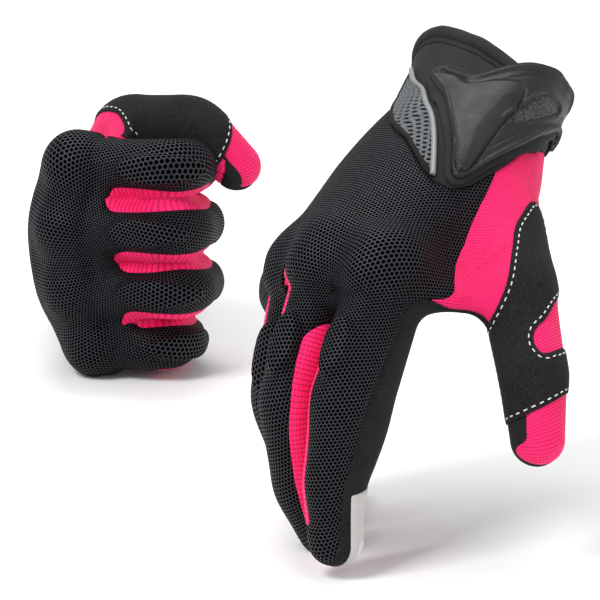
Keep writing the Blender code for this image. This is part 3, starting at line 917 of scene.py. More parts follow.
# ---------------------------------------------------------------- one glove
class Glove(Shape):
    def __init__(self, pose, finishes):
        super().__init__(pose)
        self.finishes = finishes
        self.prefix = pose["prefix"]
        self.hand_body = self.prefix + "hand"
        self.finger_blend, self.thumb_blend = self.blend_lines()
        self.volume, self.low = self.grid()
        points, quads = surface_net(self.volume, self.low)
        points, normals = settle(self, points, self.volume, self.low)
        faces = np.concatenate([quads[:, :3], quads[:, [0, 2, 3]]])
        self.body = Cloth(self.seam_fields(points, normals), faces)

    def blend_lines(self):
        """Start and end points of the lines across the hand to the fingers and to the thumb, in
        the hand frame.
        """
        if self.prefix == "open_":
            fingers = (np.array([78.0, 0.0, 0.0]), np.array([104.0, 0.0, -6.0]))
        else:
            way = unit((0.2, 0.0, -0.98))
            fingers = (22.0 * way, 42.0 * way)
        way = unit((0.1, 0.80, -0.58))
        axis = self.thumb.centre(THUMB_BONES[0])
        middle = axis @ way
        thumb = ((middle - 8.0) * way, (middle + 9.0) * way)
        return fingers, thumb

    def to_world(self, points):
        return self.world(np.atleast_2d(points)) * MM

    def angle(self, points):
        """Angle round the hand: 0 at the thumb side, 90 at the back."""
        height = self.lowered(points)
        thumb, little, back, palm = section_at(SECTIONS, points[:, 0])
        wide = points[:, 1] / np.where(points[:, 1] > 0, thumb, little)
        tall = height / np.where(height > 0, back, palm)
        power = SQUARENESS / 2.0
        return np.degrees(np.arctan2(np.sign(tall) * np.abs(tall) ** power,
                                     np.sign(wide) * np.abs(wide) ** power))

    @staticmethod
    def finger_share(points, along, nearest):
        """How much of each point belongs to a finger, from 0 on the hand to 1."""
        share = np.where(along > 25.0, (nearest < 1.9).astype(float), ease((along + 2.0) / 16.0))
        share = share * (1.0 - ease((nearest - 3.0) / 6.0))
        return np.maximum(share, ease((points[:, 0] - 93.0) / 7.0) * (along < 30.0))

    def thumb_seam(self, points, thumb):
        """Height above the seam between the thumb's pink side and its palm side.

        It follows the web's plane, then the side of the thumb, and ends under the tip."""
        corners = np.asarray(self.web, float)
        normal = unit(np.cross(corners[1] - corners[0], corners[2] - corners[0]))
        normal = normal * math.copysign(1.0, normal[2])
        plane = (points - corners[0]) @ normal
        distal = ease((thumb[1] - 52.0) / 10.0)
        lower = (1.0 - distal) * plane + distal * thumb[3]
        split = np.where(thumb[1] > 88.0, ease((thumb[1] - 88.0) / 6.0), 0.0)
        return (1.0 - split) * lower + split * np.minimum(thumb[3], thumb[2] + 7.0)

    def back_places(self, points, above, pick, finger, share):
        """The cloth's coordinates on the back and the palm, unrolled round each finger."""
        along, lateral, height = finger
        turn = np.arctan2(lateral, np.maximum(height, -0.2 * np.abs(lateral)) + 1e-6)
        hand_place = np.stack([points[:, 1] - 0.6 * np.sign(points[:, 1])
                               * np.clip(6.0 - above, 0.0, None), points[:, 0]], axis=1)
        middle = np.array([self.knuckles[name][1] for name in FINGER_ORDER])[pick]
        finger_place = np.stack([middle + FINGER_ROUND * turn, 89.0 + along], axis=1)
        weight = np.where(along > 25.0, share, ease((along + 6.0) / 20.0))[:, None]
        return (1.0 - weight) * hand_place + weight * finger_place

    @staticmethod
    def pink_places(points, finger, share, thumb, thumb_turn, on_thumb):
        """The cloth's coordinates on the pink panels: the gusset, the thumb and the strips."""
        along, _, height = finger
        down = 0.7 * points[:, 1] - 0.7 * points[:, 2]
        side_place = 0.7 * np.stack([points[:, 0] - down, points[:, 0] + down], axis=1)
        thumb_weight = ease((thumb[1] - 45.0) / 20.0)[:, None] * on_thumb[:, None]
        thumb_place = np.stack([THUMB_ROUND * thumb_turn, thumb[1]], axis=1)
        place = (1.0 - thumb_weight) * side_place + thumb_weight * thumb_place
        in_strip = (share > 0.5) & (along > WEB - 4.0) & ~on_thumb
        return np.where(in_strip[:, None], np.stack([height, along], axis=1), place)

    def seam_fields(self, points, normals):
        """For every point, how far it is inside each panel, and the cloth's own coordinates."""
        hand, fingers, thumb = self.parts(points)
        values = np.stack([finger[0] for finger in fingers])
        pick, nearest = values.argmin(axis=0), values.min(axis=0)
        finger = [np.stack([finger[part] for finger in fingers])[pick, np.arange(len(points))]
                  for part in (1, 2, 3)]
        along, lateral, height = finger
        share = self.finger_share(points, along, nearest)
        above = self.lowered(points)

        # Heights of the seams: below the mesh (top) and above the palm (low).
        thumb_side, index_side = points[:, 1] > 0.0, (pick == 0) & (lateral > 0)
        depth = self.pose["level"] * np.array([self.knuckles[name][2] for name in FINGER_ORDER])
        reach = np.array([tube.stops[-1] for tube in self.tubes])
        strip = self.strip_half(along, pick + np.where(lateral > 0, 0, 1), depth[pick],
                                reach[pick])
        top_hand = np.where(thumb_side, np.interp(points[:, 0], *HAND_EDGE), 0.0)
        low_hand = np.where(thumb_side, -30.0, 0.0)
        edge = np.interp(along, *INDEX_EDGE)
        top_finger = np.where(index_side, edge, strip)
        low_finger = np.where(index_side, edge, -strip)
        frame_height = (1.0 - share) * above + share * height
        top = (1.0 - share) * top_hand + share * top_finger
        low = (1.0 - share) * low_hand + share * low_finger

        # The thumb and its root take the seams of their own.
        on_thumb = thumb[0] < np.minimum(nearest, hand) + 0.5
        on_thumb |= (thumb[1] > 55.0) & (thumb[0] < 0.5 * TOUCH_GAP)
        far_thumb = on_thumb & (thumb[1] > 30.0)
        web_zone = (thumb_side & (share < 1.0) & (along < 30.0)) | on_thumb
        gusset_low = ((1.0 - share) * self.thumb_seam(points, thumb)
                      + share * (height - edge))
        from_top = np.where(far_thumb, FAR, top - frame_height)
        side = np.where(web_zone, np.minimum(from_top, gusset_low),
                        np.minimum(top - frame_height, frame_height - low))
        mesh = np.where(far_thumb, -FAR, frame_height - top)
        palm = np.where(web_zone, -np.maximum(gusset_low, mesh), low - frame_height)
        way = unit(self.thumb_blend[1] - self.thumb_blend[0])
        by_thumb = np.where(thumb[0] < nearest, points @ way - self.thumb_blend[0] @ way + 4.0,
                            -FAR)
        by_thumb = np.where(on_thumb & (thumb[1] > 50.0), np.maximum(by_thumb, 5.0), by_thumb)
        thumb_turn = np.degrees(np.arctan2(thumb[3], thumb[2]))
        thumb_turn = np.where(thumb_turn < -90.0, thumb_turn + 360.0, thumb_turn)

        # The wrist band, and the strip that a point of a pink panel belongs to.
        angle = self.angle(points)
        cuff = np.where(np.minimum(nearest, thumb[0]) > -1.0,
                        self.cuff_edge(angle) - points[:, 0], -FAR)
        slot = pick + np.where(lateral > 0, -1, 0)
        slot = np.where(web_zone & (along < WEB + 2.0) & (slot < 0), -1, slot)
        return {"place": points, "normal": normals, "mesh": mesh, "side": side, "palm": palm,
                "by_thumb": by_thumb, "cuff": cuff, "end": points[:, 0] - self.cuff_end(angle),
                "slot": slot.astype(float), "pick": pick.astype(float), "share": share,
                "finger": along, "lateral": lateral, "height": height,
                "thumb_turn": thumb_turn, "thumb_along": thumb[1],
                "back_place": self.back_places(points, above, pick, finger, share),
                "pink_place": self.pink_places(points, finger, share, thumb, thumb_turn,
                                               on_thumb),
                "cuff_place": np.stack([angle * ROUND, points[:, 0]], axis=1)}

    def strip_half(self, along, gap, depth, reach):
        """Half width of the stretch strips beside the fingers, along the finger.

        The gap counts from the index finger's outer side, 0, to the little finger's, 4."""
        widest = np.choose(gap, self.pose["strips"])
        start = np.choose(gap, self.pose["starts"]) + depth
        from_start = np.clip(along - start, 0.0, None)
        nose = np.sqrt(np.clip(2.0 * from_start / widest - (from_start / widest) ** 2, 0.0, 1.0))
        nose = np.where(from_start > widest, 1.0, nose)
        first, *shares = self.pose["taper"]
        taper = 1.0 - np.choose(gap, shares) * ease((along - first) / 16.0)
        return widest * nose * taper * (1.0 - ease((along - reach + 8.0) / 7.0)) + 0.01

    def cuff_edge(self, angle):
        """Where the wrist band meets the hand's panels."""
        return np.interp(angle, *CUFF_EDGE)

    def cuff_end(self, angle):
        """Where the wrist band ends."""
        return np.interp(angle, *CUFF_END)

    # ------------------------------------------------------------ making pieces
    def build(self, name, points, faces, finish, place=None, thick=CLOTH, body=None, blend=None,
              replaced=(), slot=None):
        """A Blender object from points in the straight hand frame.

        It rides on one body; a piece for the fingers or the thumb is only baked into the world and
        rides on none."""
        mesh = bpy.data.meshes.new(self.prefix + name)
        mesh.from_pydata(self.to_world(points).tolist(), [], [list(face) for face in faces])
        mesh.polygons.foreach_set("use_smooth", np.ones(len(mesh.polygons), bool))
        if place is not None:
            layer = mesh.uv_layers.new(name="cloth")
            loops = np.empty(len(mesh.loops), np.int32)
            mesh.loops.foreach_get("vertex_index", loops)
            cloth = (np.asarray(place)[loops] * MM).astype(np.float32)
            layer.data.foreach_set("uv", cloth.ravel())
        mesh.materials.append(self.finishes[finish])
        piece = bpy.data.objects.new(self.prefix + name, mesh)
        bpy.context.collection.objects.link(piece)
        if thick:
            solid = piece.modifiers.new("thickness", "SOLIDIFY")
            solid.thickness = thick * MM
            solid.offset = -1.0
        if blend == "fingers":
            start, end = (self.world_line(point) for point in self.finger_blend)
            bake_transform(piece)
            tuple(start)
            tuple(end)
        elif blend == "thumb":
            start, end = (self.world_line(point) for point in self.thumb_blend)
            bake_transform(piece)
            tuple(start)
            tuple(end)
        else:
            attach(piece, self.prefix + (body or "hand"))
        if replaced:
            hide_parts(*[self.prefix + node for node in replaced])
        return piece

    @staticmethod
    def relax(piece, guide):
        """Flatten a panel with the least stretch, true to size, and turn it to the guide."""
        bpy.context.view_layer.objects.active = piece
        for other in bpy.context.selected_objects:
            other.select_set(False)
        piece.select_set(True)
        bpy.ops.object.mode_set(mode="EDIT")
        bpy.ops.mesh.select_all(action="SELECT")
        bpy.ops.uv.unwrap(method="ANGLE_BASED", margin=0.0)
        bpy.ops.uv.minimize_stretch(iterations=80)
        bpy.ops.object.mode_set(mode="OBJECT")
        mesh = piece.data
        count = len(mesh.loops)
        flat, corners = np.empty(count * 2, np.float32), np.empty(count, np.int32)
        mesh.uv_layers["cloth"].data.foreach_get("uv", flat)
        mesh.loops.foreach_get("vertex_index", corners)
        places = np.empty(len(mesh.vertices) * 3, np.float32)
        mesh.vertices.foreach_get("co", places)
        places = places.reshape(-1, 3)
        flat = flat.reshape(-1, 2).astype(float)
        start, turn = corners[0::3], corners[1::3]
        true = np.linalg.norm(places[turn] - places[start], axis=1)
        drawn = np.linalg.norm(flat[1::3] - flat[0::3], axis=1)
        flat *= np.median(true / np.maximum(drawn, 1e-9))
        target = guide[corners] * MM
        spread = (flat - flat.mean(axis=0)).T @ (target - target.mean(axis=0))
        left, _, right = np.linalg.svd(spread)
        flip = np.diag([1.0, math.copysign(1.0, np.linalg.det(left @ right))])
        flat = (flat - flat.mean(axis=0)) @ left @ flip @ right + target.mean(axis=0)
        mesh.uv_layers["cloth"].data.foreach_set("uv", flat.astype(np.float32).ravel())

    def world_line(self, point):
        """A point in front of the wrist, in metres, without the wrist's bend."""
        return tuple((np.asarray(self.pose["wrist"]) + np.asarray(point) @ self.axes) * MM)

    def panel(self, name, cloth, edge, finish, place, lift=0.0, depth=SEAM_DEPTH, relax=False,
              **more):
        """A panel pulled in along its edges."""
        data = cloth.columns
        inside = np.clip(data[edge], 0.0, None)
        height = lift - depth * np.exp(-(inside / SEAM_WIDTH) ** 2)
        points = data["place"] + height[:, None] * data["normal"]
        piece = self.build(name, points, cloth.faces, finish, data[place], **more)
        if relax:
            self.relax(piece, data[place])
        return piece

    def stitches(self, name, chains, finish, lift, length=2.0, pitch=3.1, radius=0.27, **more):
        """Short round-ended threads along chains of points with normals."""
        points, faces = [], []
        rings = ((-0.5, 0.0), (-0.42, 0.7), (-0.25, 1.0), (0.25, 1.0), (0.42, 0.7), (0.5, 0.0))
        sides = 6
        for chain in chains:
            place, normal = chain[:, :3], chain[:, 3:]
            steps = np.linalg.norm(np.diff(place, axis=0), axis=1)
            total = np.concatenate([[0.0], np.cumsum(steps)])
            if total[-1] < 2.0 * pitch:
                continue
            for at in np.arange(0.5 * pitch, total[-1] - 0.5 * length, pitch):
                middle, ahead, behind = (np.array([np.interp(at + offset, total, place[:, axis])
                                                   for axis in range(3)])
                                         for offset in (0.0, 1.0, -1.0))
                up = unit([np.interp(at, total, normal[:, axis]) for axis in range(3)])
                way = unit(ahead - behind)
                side = unit(np.cross(up, way))
                first = len(points)
                for share, size in rings:
                    dip = -1.4 * radius * (2.0 * share) ** 4
                    centre = middle + share * length * way + (lift + dip) * up
                    for turn in range(sides if size else 1):
                        angle = 2.0 * math.pi * turn / sides
                        points.append(centre + size * radius * (math.cos(angle) * side
                                                                + math.sin(angle) * up))
                for turn in range(sides):
                    beside = (turn + 1) % sides
                    faces.append((first, first + 1 + beside, first + 1 + turn))
                    for ring in range(3):
                        low = first + 1 + sides * ring
                        high = low + sides
                        faces.append((low + turn, low + beside, high + beside, high + turn))
                    faces.append((high + turn, high + beside, high + sides))
        if not points:
            return None
        return self.build(name, np.array(points), faces, finish, thick=0.0, **more)

    def cast(self, angle, along, lift):
        """Points over the surface, and its normals, at places round and along the wrist."""
        angle, along = np.radians(np.asarray(angle, float)), np.asarray(along, float)
        thumb, little, back, palm = section_at(SECTIONS, along)
        power = 2.0 / SQUARENESS
        across = np.sign(np.cos(angle)) * np.abs(np.cos(angle)) ** power
        height = np.sign(np.sin(angle)) * np.abs(np.sin(angle)) ** power
        way = np.stack([np.zeros_like(angle), across * np.where(across > 0, thumb, little),
                        height * np.where(height > 0, back, palm)], axis=1)
        way /= np.linalg.norm(way, axis=1)[:, None]
        start = np.stack([along, np.zeros_like(along),
                          np.clip(along / HAND_LENGTH, 0.0, 1.0)], axis=1)
        near, far = np.full(len(along), 8.0), np.full(len(along), 46.0)
        for _ in range(14):
            middle = 0.5 * (near + far)
            outside = self.sample(start + middle[:, None] * way) > 0.0
            near, far = np.where(outside, near, middle), np.where(outside, middle, far)
        points = start + near[:, None] * way
        normal = np.stack([self.sample(points + step) - self.sample(points - step)
                           for step in 1.5 * np.eye(3)], axis=1)
        normal /= np.maximum(np.linalg.norm(normal, axis=1), 1e-9)[:, None]
        return points + np.asarray(lift, float).reshape(-1, 1) * normal, normal

    def sample(self, points):
        """The field read from the grid."""
        return read_grid([self.volume], self.low, points)[:, 0]

    def tube_along(self, name, angle, along, finish, radius, lift, closed=False, flat=1.0, **more):
        """A cord sewn on the surface, through places round and along the wrist."""
        count = len(angle)
        stops = np.arange(count + (1 if closed else 0))
        angle, along = (np.append(part, part[0]) if closed else np.asarray(part, float)
                        for part in (np.asarray(angle, float), np.asarray(along, float)))
        if closed:
            angle[-1] += 360.0 if angle[-2] > angle[0] else -360.0
        fine = np.linspace(0, stops[-1], 14 * len(stops))
        around, ahead = (np.interp(fine, stops, part) for part in (angle, along))
        for _ in range(0 if closed else 60):
            for part in (around, ahead):
                part[1:-1] = 0.25 * part[:-2] + 0.5 * part[1:-1] + 0.25 * part[2:]
        points, normals = self.cast(around, ahead, lift)
        if closed:
            points, normals = points[:-1], normals[:-1]
        for _ in range(40):
            middle = 0.5 * (np.roll(points, 1, axis=0) + np.roll(points, -1, axis=0))
            if not closed:
                middle[[0, -1]] = points[[0, -1]]
            points = 0.5 * (points + middle)
        way = np.roll(points, -1, axis=0) - np.roll(points, 1, axis=0)
        if not closed:
            way[0], way[-1] = points[1] - points[0], points[-1] - points[-2]
        side = np.cross(normals, way)
        side /= np.linalg.norm(side, axis=1)[:, None]
        ring = 10
        rows = []
        for turn in range(ring):
            angle_now = 2.0 * math.pi * turn / ring
            rows.append(points + radius * (math.cos(angle_now) * side * flat
                                           + math.sin(angle_now) * normals))
        grid = np.stack(rows, axis=1)
        total = len(points)
        faces = []
        for row in range(total if closed else total - 1):
            after = (row + 1) % total
            for turn in range(ring):
                beside = (turn + 1) % ring
                faces.append((row * ring + turn, row * ring + beside, after * ring + beside,
                              after * ring + turn))
        if not closed:
            faces.append(tuple(range(ring))[::-1])
            faces.append(tuple((total - 1) * ring + turn for turn in range(ring)))
        place = np.stack([np.repeat(np.arange(total), ring) * 0.8,
                          np.tile(np.arange(ring), total) * 0.6], axis=1)
        return self.build(name, grid.reshape(-1, 3), faces, finish, place, thick=0.0, **more)

    def plate(self, name, curve, step, height, finish, thick, expand=0.0, **more):
        """A plate over the wrist with a smooth outline; height gives its lift at each place.

        Places are (millimetres round the wrist, millimetres along)."""
        low, high = curve.min(axis=0) - 3 * step - expand, curve.max(axis=0) + 3 * step + expand
        across, along = (np.arange(low[axis], high[axis], step) for axis in (0, 1))
        grid = np.stack(np.meshgrid(across, along, indexing="ij"), axis=-1).reshape(-1, 2)
        rows, columns = len(across), len(along)
        number = np.arange(rows * columns).reshape(rows, columns)
        a, b, c, d = (part.ravel() for part in (number[:-1, :-1], number[1:, :-1], number[1:, 1:],
                                                number[:-1, 1:]))
        faces = np.concatenate([np.stack([a, b, c], axis=1), np.stack([a, c, d], axis=1)])
        inside = inside_curve(grid, curve) + expand
        cloth = Cloth({"place": grid, "inside": inside}, faces).cut("inside")
        grid, inside = cloth.columns["place"], cloth.columns["inside"]
        points, normals = self.cast(grid[:, 0] / ROUND, grid[:, 1], height(grid, inside))
        cloth.columns.update({"place": points, "normal": normals})
        if not faces_out(points, cloth.faces, normals):
            cloth.faces = cloth.faces[:, ::-1]
        self.build(name, points, cloth.faces, finish, grid, thick=thick, **more)
        return cloth


def outline(places, count=10):
    """A smooth closed curve through (degrees round, millimetres along) places."""
    return closed_curve([(angle * ROUND, along) for angle, along in places], count)


# Outlines of the strap's tab, of the raised shield on it, of its sunken inset, and of the loop
# patch under it.
TAB = outline(((105, -6), (97, -10.5), (82, -3.5), (63, -9), (40, -16), (20, -21), (-14, -31),
               (-36, -31), (-44, -29), (-44, -9), (-36, -7), (-20, -7.5), (-5, -2), (6, 9),
               (16, 25), (20, 36), (25, 44), (33, 44.5), (40, 41.5), (52, 33), (72, 21), (92, 7)))
SHIELD = outline(((101, -3.4), (92, -4.0), (80, 2.0), (63, -2.0), (46, -4.5), (37, -2.5),
                  (34, 6.0), (33, 14), (29, 27), (25, 38), (29, 41.5), (37, 40), (49, 32),
                  (73, 19.5), (89, 8.5)))
INSET = outline(((34, 9.0), (24, -5.0), (8, -10.5), (-3, -13), (2, -5.0), (18, 4.0)))
LOOP = outline(((10, -20), (4, -25), (-10, -26), (-24, -26), (-30, -22), (-30, -16), (-24, -13),
                (-10, -12), (4, -12), (10, -15)))


def dress(glove):
    """Cut the body of one glove into its panels and add everything that is sewn on."""
    body = glove.body.cut("end")
    cuff, hand = body.halves("cuff")
    for store in (hand, cuff):
        store.columns["edge"] = np.abs(store.columns["cuff"])
    mesh = hand.cut("mesh").pieces_above(LOOSE)
    thumb, rest = hand.cut("side").halves("by_thumb")
    under, palm = hand.cut("palm").halves("by_thumb")
    thumb, under, palm = (part.pieces_above(LOOSE) for part in (thumb, under, palm))
    for store, seam in ((mesh, "mesh"), (thumb, "side"), (rest, "side"), (under, "palm"),
                        (palm, "palm")):
        store.columns["inside"] = np.minimum(store.columns["edge"], store.columns[seam])
    glove.panel("back_shell", mesh, "inside", "air_mesh", "back_place", blend="fingers",
                replaced=("back_panel", "knuckle_guard", "index_back", "middle_back", "ring_back",
                          "little_back"), slot="air_mesh", relax=True)
    middle_slot = np.round(rest.columns["slot"][rest.faces].max(axis=1))
    on_hand = rest.columns["share"][rest.faces].mean(axis=1) < 0.5
    thumb_side = rest.columns["place"][rest.faces[:, 0], 1] > 0
    middle_slot = np.where(on_hand & thumb_side, -1, middle_slot)
    names = ("side_gusset", "index_middle_strip", "middle_ring_strip", "ring_little_strip",
             "little_side")
    for number, name in enumerate(names, start=-1):
        part = rest.keep(middle_slot == number).pieces_above(30)
        if len(part.faces) < 20:
            continue
        finish = "pink_knit" if number < 0 else "pink_rib"
        glove.panel(name, part, "inside", finish, "pink_place", blend="fingers", thick=1.0,
                    replaced=(name,), slot="pink_knit", relax=number < 0)
    glove.panel("thumb_pink", thumb, "inside", "pink_knit", "pink_place", blend="thumb", thick=1.0,
                replaced=("thumb_base_back", "thumb_back"), slot="pink_knit", relax=True)
    glove.panel("palm_shell", palm, "inside", "suede", "back_place", blend="fingers",
                replaced=("palm_panel", "index_palm", "middle_palm", "ring_palm", "little_palm"),
                slot="black_suede")
    glove.panel("thumb_palm", under, "inside", "suede", "pink_place", blend="thumb",
                replaced=("thumb_base_palm", "thumb_palm"), slot="black_suede")
    thumb_patch(glove, body)
    touch_tip(glove, palm)
    wrist(glove, cuff)


# Outline of the thumb patch, (degrees round the thumb, millimetres along it): its upper side and
# tip, the bay cut into it, and its lower side.
PATCH_UPPER = ((42, 12.5), (60, 14.5), (78, 21), (96, 28.6), (108, 38), (121, 46.5), (135, 53),
               (152, 58), (172, 60.5), (195, 61), (204, 64), (204, 96), (196, 99), (150, 99),
               (112, 97), (84, 94.5), (40, 90), (-20, 86), (-24, 78))
PATCH_BAY = ((10, 73), (40, 74.5), (70, 77.5), (92, 78.5), (103, 75), (98, 70), (76, 65), (45, 56))
PATCH_LOWER = ((15, 50), (-20, 46), (-20, 36), (6, 25), (24, 16))


def patch_curve(bay, later):
    """The patch's outline in millimetres, with a shallower bay and a later start if asked."""
    inner = tuple((-24 + bay * (angle + 24), along) for angle, along in PATCH_BAY)
    upper = tuple((angle, along + later * max(0.0, 1.0 - along / 64))
                  for angle, along in PATCH_UPPER)
    return closed_curve([(angle * THUMB_ROUND, along)
                         for angle, along in upper + inner + PATCH_LOWER], 10)


def thumb_patch(glove, body):
    """The stitched suede patch over the thumb."""
    data = body.columns
    places = np.stack([data["thumb_turn"] * THUMB_ROUND, data["thumb_along"]], axis=1)
    field = inside_curve(places, patch_curve(glove.pose["bay"], glove.pose["patch"]))
    near = (data["by_thumb"] > -30.0) & (data["thumb_along"] > 5.0)
    data["patch"] = np.where(near, field, -FAR)
    patch = body.cut("patch").pieces_above(200)
    height = 0.75 - 0.35 * np.exp(-(patch.columns["patch"] / 0.7) ** 2)
    points = patch.columns["place"] + height[:, None] * patch.columns["normal"]
    glove.build("thumb_patch", points, patch.faces, "suede", patch.columns["pink_place"],
                thick=0.9, blend="thumb", replaced=("thumb_patch",), slot="black_suede")
    glove.stitches("thumb_patch_stitches", patch.contour("patch", 1.7), "white_thread", 0.78,
                   blend="thumb", slot="black_suede")


# Outline of the cloth on the index tip: millimetres across, and back from the fingertip.
TOUCH_TIP = ((-5.5, 28), (6.0, 28), (13.0, 25), (13.0, 8), (8.0, 1), (-4.0, 3), (-8.0, 12),
             (-8.0, 22))


def touch_tip(glove, palm):
    """Pale conductive cloth on the palm side of the index tip."""
    data = palm.columns
    length = glove.tubes[0].length
    places = np.stack([data["lateral"], data["finger"]], axis=1)
    curve = closed_curve([(across, length - back) for across, back in TOUCH_TIP], 8)
    on_index = (np.round(data["pick"]) == 0) & (data["share"] > 0.5)
    field = np.minimum(inside_curve(places, curve), 2.0 - data["height"])
    data["touch"] = np.where(on_index, field, -FAR)
    tip = palm.cut("touch").pieces_above(30)
    glove.panel("index_touch_tip", tip, "touch", "touch_cloth", "back_place", lift=0.6, depth=0.3,
                thick=0.7, blend="fingers", replaced=("index_touch_tip",), slot="touch_cloth")


def wrist(glove, cuff):
    """The wrist band, its binding, the vent, the piping and the strap."""
    cuff.columns["inside"] = np.minimum(cuff.columns["edge"], 20.0)
    glove.panel("cuff_band", cuff, "inside", "neoprene", "cuff_place", lift=0.3, depth=0.5,
                thick=1.8, replaced=("cuff_band",), slot="cuff_neoprene")
    angles = np.arange(-180.0, 180.0, 6.0)
    ends = glove.cuff_end(angles)
    glove.tube_along("cuff_binding", angles, ends + 0.5, "neoprene", 1.9, 0.0, closed=True,
                     flat=1.5, replaced=("cuff_binding",), slot="edge_binding")
    glove.tube_along("cuff_ridge", angles, ends + 6.0, "neoprene", 0.55, 0.35, closed=True,
                     slot="edge_binding")
    vent(glove)
    strap(glove)


# Outline of the vent, (degrees round, millimetres along): the side with the piping, and the rest.
VENT_EDGE = ((135, -19), (115, -2), (95, 12.7), (82, 22.5), (70, 31.5), (58, 41), (46, 49.5))
VENT_BACK = ((46, 49.5), (58, 47), (69, 43.5), (80, 38), (90, 32), (104, 25), (118, 18), (134, 9),
             (140, 0), (140, -12), (135, -19))


def vent(glove):
    """A sheet of hexagonal openings, over a dark backing, with piping along one edge."""
    curve = np.array([(angle * ROUND, along) for angle, along in VENT_EDGE + VENT_BACK])
    cell = 2.7                  # pitch of the openings
    rise = 0.5 * HEX_PITCH
    points, faces, number = [], [], {}

    def corner(place):
        key = (round(place[0] * 50), round(place[1] * 50))
        if key not in number:
            number[key] = len(points)
            points.append(place)
        return number[key]

    low, high = curve.min(axis=0), curve.max(axis=0)
    centres = []
    for row in range(int((high[1] - low[1]) / (cell * rise)) + 2):
        for column in range(int((high[0] - low[0]) / cell) + 2):
            centres.append((low[0] + (column + 0.5 * (row % 2)) * cell,
                            low[1] + row * cell * rise))
    centres = np.array(centres)
    centres = centres[inside_curve(centres, curve) > -cell]
    ring = [(math.sin(math.radians(60 * turn)), math.cos(math.radians(60 * turn)))
            for turn in range(6)]
    for centre in centres:
        outer = [corner(centre + 0.57735 * cell * np.array(way)) for way in ring]
        inner = [corner(centre + 0.36 * cell * np.array(way)) for way in ring]
        for turn in range(6):
            beside = (turn + 1) % 6
            faces.append((outer[turn], outer[beside], inner[beside], inner[turn]))
    grid = np.array(points)
    places, normals = glove.cast(grid[:, 0] / ROUND, grid[:, 1], 1.5)
    if not faces_out(places, np.array([face[:3] for face in faces]), normals):
        faces = [face[::-1] for face in faces]
    triangles = np.array([part for face in faces for part in (face[:3], (face[0], *face[2:]))])
    net = Cloth({"place": places, "grid": grid, "inside": inside_curve(grid, curve)},
                triangles).cut("inside")
    glove.build("vent_panel", net.columns["place"], net.faces, "vent_plastic",
                net.columns["grid"], thick=0.9, replaced=("vent_panel",), slot="vent_mesh")
    glove.tube_along("vent_seam", *np.transpose(VENT_BACK), "suede", 0.7, 1.1, flat=1.3,
                     slot="air_mesh")
    glove.tube_along("vent_piping", *np.transpose(VENT_EDGE), "piping", 0.95, 1.6, flat=1.15,
                     replaced=("vent_piping",), slot="reflective_piping")


def strap(glove):
    """The closing strap: a fabric band, hook and loop, and the moulded rubber tab on top."""

    def relief(grid, inside):
        shield = inside_curve(grid, SHIELD)
        inset = inside_curve(grid, INSET)
        # A raised border, a domed shield with a rim, the sunken inset, and a groove beside them.
        border = ease(inside / 0.5) * (1.0 - ease((inside - 1.7) / 0.5))
        height = 2.3 + 1.1 * ease(inside / 0.8) + 0.85 * border
        rim = np.exp(-((shield + 0.55) / 0.45) ** 2)
        crest = np.clip(shield - 0.6, 0.0, 7.0)
        height = height + 1.1 * ease((shield + 0.1) / 0.7) + 0.10 * crest - 0.8 * rim
        height = height - ease((inset + 0.3) / 0.6) + 0.5 * np.exp(-((inset + 1.0) / 0.6) ** 2)
        groove = np.exp(-((inside - 5.6) / 0.4) ** 2) * (1.0 - ease((shield + 2.5) / 1.5))
        return height - 0.5 * groove * (1.0 - ease((inset + 1.5) / 1.0))

    tab = glove.plate("strap_tab", TAB, 0.55, relief, "rubber", 1.6, body="strap",
                      replaced=("strap_tab",), slot="strap_rubber")
    glove.plate("strap_inset", INSET, 0.7, lambda grid, inside: np.full(len(grid), 2.75),
                "grained", 0.6, expand=-0.2, body="strap", slot="strap_rubber")
    glove.stitches("strap_stitches", tab.contour("inside", 2.6), "black_thread", -0.1, length=1.7,
                   pitch=2.6, radius=0.3, body="strap", slot="strap_rubber")
    glove.plate("strap_band", TAB, 1.0, lambda grid, inside: 1.75 + 0.4 * ease(inside / 1.5),
                "neoprene", 1.1, expand=2.6, body="strap", replaced=("strap_band", "hook_patch"),
                slot="cuff_neoprene")
    glove.plate("loop_patch", LOOP, 1.2, lambda grid, inside: np.full(len(grid), 0.75),
                "suede", 0.5, replaced=("loop_patch",), slot="hook_and_loop")


# ---------------------------------------------------------------- the whole scene
def stage(floor_height):
    """A wide white floor."""
    size = 6.0
    corners = ((-size, -size), (size, -size), (size, size), (-size, size))
    mesh = bpy.data.meshes.new("floor")
    mesh.from_pydata([(*corner, floor_height) for corner in corners], [], [(0, 1, 2, 3)])
    floor = bpy.data.objects.new("floor", mesh)
    bpy.context.collection.objects.link(floor)
    nodes = Nodes("floor_finish")
    mesh.materials.append(nodes.finish((0.90, 0.90, 0.90), 0.9, specular=0.1))


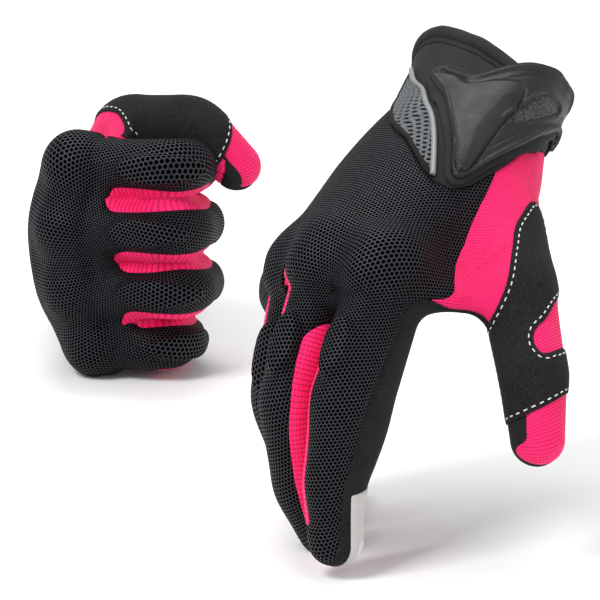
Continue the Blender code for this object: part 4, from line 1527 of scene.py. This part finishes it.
LOOK = Vector((-0.07496, -0.10090, -0.06564))
ELEVATION, DISTANCE, LENS = math.radians(15.0), 2.0, 330.0
LAMPS = (("key", (-1.0, -1.0, 1.4), 0.7, 30.0), ("fill", (1.2, -1.1, 0.5), 1.4, 8.0),
         ("top", (-0.2, 0.7, 1.6), 1.0, 18.0))          # name, place, size, power


def lights():
    """Three area lamps aimed at the gloves, in a white room."""
    for name, place, size, power in LAMPS:
        light = bpy.data.lights.new(name, "AREA")
        light.energy, light.size = power, size
        holder = bpy.data.objects.new(name, light)
        holder.location = place
        holder.rotation_euler = (LOOK - Vector(place)).to_track_quat("-Z", "Y").to_euler()
        bpy.context.collection.objects.link(holder)
    world = bpy.data.worlds.new("studio")
    world.use_nodes = True
    background = world.node_tree.nodes["Background"]
    background.inputs[0].default_value = (1.0, 1.0, 1.0, 1.0)
    background.inputs[1].default_value = 0.62
    bpy.context.scene.world = world
    bpy.context.scene.view_settings.view_transform = "Standard"


def camera():
    """The photograph's view, fitted to its outline."""
    data = bpy.data.cameras.new("view")
    data.lens, data.sensor_width = LENS, 36.0
    holder = bpy.data.objects.new("view", data)
    away = Vector((0.0, -math.cos(ELEVATION), math.sin(ELEVATION)))
    holder.location = LOOK + DISTANCE * away
    holder.rotation_euler = (-away).to_track_quat("-Z", "Y").to_euler()
    bpy.context.collection.objects.link(holder)
    bpy.context.scene.camera = holder


def main():
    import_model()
    cad_low, cad_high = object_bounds()
    finishes = {
        "air_mesh": air_mesh(), "pink_knit": pink_knit("pink_grid_finish", 0.00105, 0.00105),
        "pink_rib": pink_knit("pink_rib_finish", 0.0011, 0.0017), "suede": suede(),
        "neoprene": neoprene(), "rubber": rubber(), "grained": grained_rubber(),
        "vent_plastic": vent_plastic(), "piping": piping(), "touch_cloth": touch_cloth(),
        "white_thread": thread("white_thread", (0.75, 0.74, 0.72)),
        "black_thread": thread("black_thread", (0.012, 0.012, 0.012)),
    }
    for pose in (OPEN, FIST):
        dress(Glove(pose, finishes))
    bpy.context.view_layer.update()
    stage(cad_low[2] - 0.0003)
    lights()
    camera()


main()
